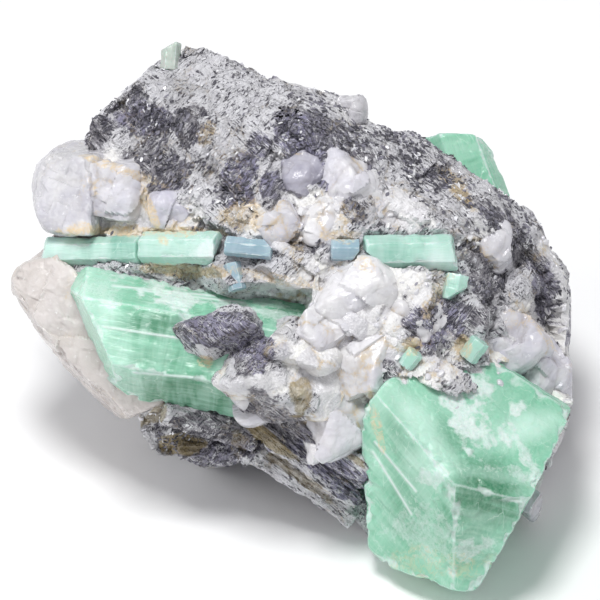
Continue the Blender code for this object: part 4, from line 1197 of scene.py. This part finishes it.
def mica_material(name, dark, light, metal, gloss):
    """Mica: flat glossy flakes, each with a shade of its own."""
    material, space, (shade,) = new_material(name, ("shade",))
    colour = (shade * 0.8 + space.noise(2, 2) * 0.3).mix(dark, light)
    roughness = shade.span(0, 1, gloss, gloss + 0.25)
    return finish_material(material, colour, roughness, space.noise(4, 2), 0.04, 0.6, Metallic=metal)


def make_materials():
    """The node groups, then every look by the name that LOOKS and the finishes use."""
    for make_group in (slivers_group, stain_group, crumbs_group, veil_group):
        make_group()
    # The third colour of each beryl is its darker green, which is also painted shade on lower facets.
    beryls = {
        "emerald": ("milky_emerald", srgb(202, 238, 222), srgb(134, 199, 168), srgb(48, 122, 84)),
        "emerald_pale": ("row_emerald", srgb(216, 238, 232), srgb(172, 216, 200), srgb(112, 176, 156)),
        "grey_beryl": ("grey_beryl", srgb(214, 220, 214), srgb(178, 190, 180), srgb(110, 122, 112)),
        "beryl_blue": ("blue_beryl", srgb(196, 212, 220), srgb(146, 174, 188), srgb(92, 124, 136)),
    }
    pale = (srgb(236, 235, 233), srgb(206, 204, 218), srgb(112, 110, 128))
    smoky = (srgb(232, 226, 222), srgb(222, 218, 224), srgb(176, 166, 158))
    return {
        "schist": schist_material(),
        "quartz_pale": quartz_material("milky_quartz", *pale, 0.15),
        "quartz_smoky": quartz_material("smoky_quartz", *smoky, 0.35),
        **{look: beryl_material(*colours) for look, colours in beryls.items()},
        "black_mica": mica_material("black_mica", srgb(30, 30, 34), srgb(140, 138, 150), 0, 0.25),
        "silver_mica": mica_material("silver_mica", srgb(206, 206, 214), srgb(255, 255, 255), 0.25, 0.24),
    }


def add_camera():
    """A long lens square on to the show face, so that the picture's middle and width on the face are as
    named."""
    data = bpy.data.cameras.new("camera")
    data.lens = CAMERA_LENS
    data.sensor_width = CAMERA_SENSOR
    distance = PICTURE_WIDTH * CAMERA_LENS / CAMERA_SENSOR
    data.clip_start = distance * MM / 100
    data.clip_end = distance * MM * 10
    camera = put_in_scene("camera", data)
    camera.location = to_row(np.array([PICTURE_MIDDLE]) + (0, 0, distance))[0]
    camera.rotation_euler = (math.pi / 2 - ELEVATION, 0, 0)
    bpy.context.scene.camera = camera


def add_light(name, azimuth, elevation, distance, size, power):
    """A square soft light at a bearing round the specimen, turned to it. Azimuth 0 is the camera's side."""
    turn, rise = math.radians(azimuth), math.radians(elevation)
    back = np.array((math.sin(turn) * math.cos(rise), -math.cos(turn) * math.cos(rise), math.sin(rise)))
    data = bpy.data.lights.new(name, "AREA")
    data.shape = "SQUARE"
    data.size = size
    data.energy = power
    light = put_in_scene(name, data)
    light.location = back * distance + (0, 0, CENTRE[2] * MM)
    light.rotation_euler = (math.pi / 2 - rise, 0, turn)
    light.visible_camera = False


def add_stage():
    """A plain pale floor, soft lights and a pale sky."""
    scene = bpy.context.scene
    mesh = bpy.data.meshes.new("floor")
    corners = [(-1, -1, 0), (1, -1, 0), (1, 1, 0), (-1, 1, 0)]
    mesh.from_pydata(np.array(corners) * FLOOR_HALF, [], [(0, 1, 2, 3)])
    floor = put_in_scene("floor", mesh)
    floor.location.z = -FLOOR_DROP
    material = bpy.data.materials.new("pale_floor")
    material.use_nodes = True
    feed(material.node_tree.nodes["Principled BSDF"], {"Base Color": srgb(252, 252, 252), "Roughness": 0.9})
    mesh.materials.append(material)
    scene.world = bpy.data.worlds.new("studio")
    scene.world.use_nodes = True
    sky = {"Color": srgb(250, 251, 255), "Strength": SKY_STRENGTH}
    feed(scene.world.node_tree.nodes["Background"], sky)
    scene.view_settings.view_transform = "Standard"
    for name, row in LIGHTS.items():
        add_light(name, *row)


def main():
    """The pieces in order, then mica flakes where the rock is bare of quartz, then the stage."""
    materials = make_materials()
    shapes = crystal_shapes()
    rock = make_rock(materials["schist"], shapes)
    make_lumps(materials["quartz_pale"], materials["schist"])
    make_laths(materials["schist"])
    make_crystals(materials, shapes)
    make_grains(rock, materials["quartz_pale"])
    points, _, masks = rock
    bare = (1 - 0.9 * masks["quartz"]) * (0.3 + 0.7 * (points[:, 2] > 0))
    black = bare * (0.05 + masks["dark"] + 0.5 * masks["crest"])
    black = black * smooth_step(clouds(points, 3.4, 21), 0.42, 0.6)
    silver = bare * (0.5 + masks["crest"]) * smooth_step(clouds(points, 4.2, 22), 0.4, 0.62)
    make_flakes("black_mica_flakes", rock, black, FLAKE_COUNT, STREW_SEED + 1, materials["black_mica"])
    make_flakes("silver_mica_flakes", rock, silver, SILVER_COUNT, STREW_SEED + 2, materials["silver_mica"])
    add_stage()
    add_camera()


main()
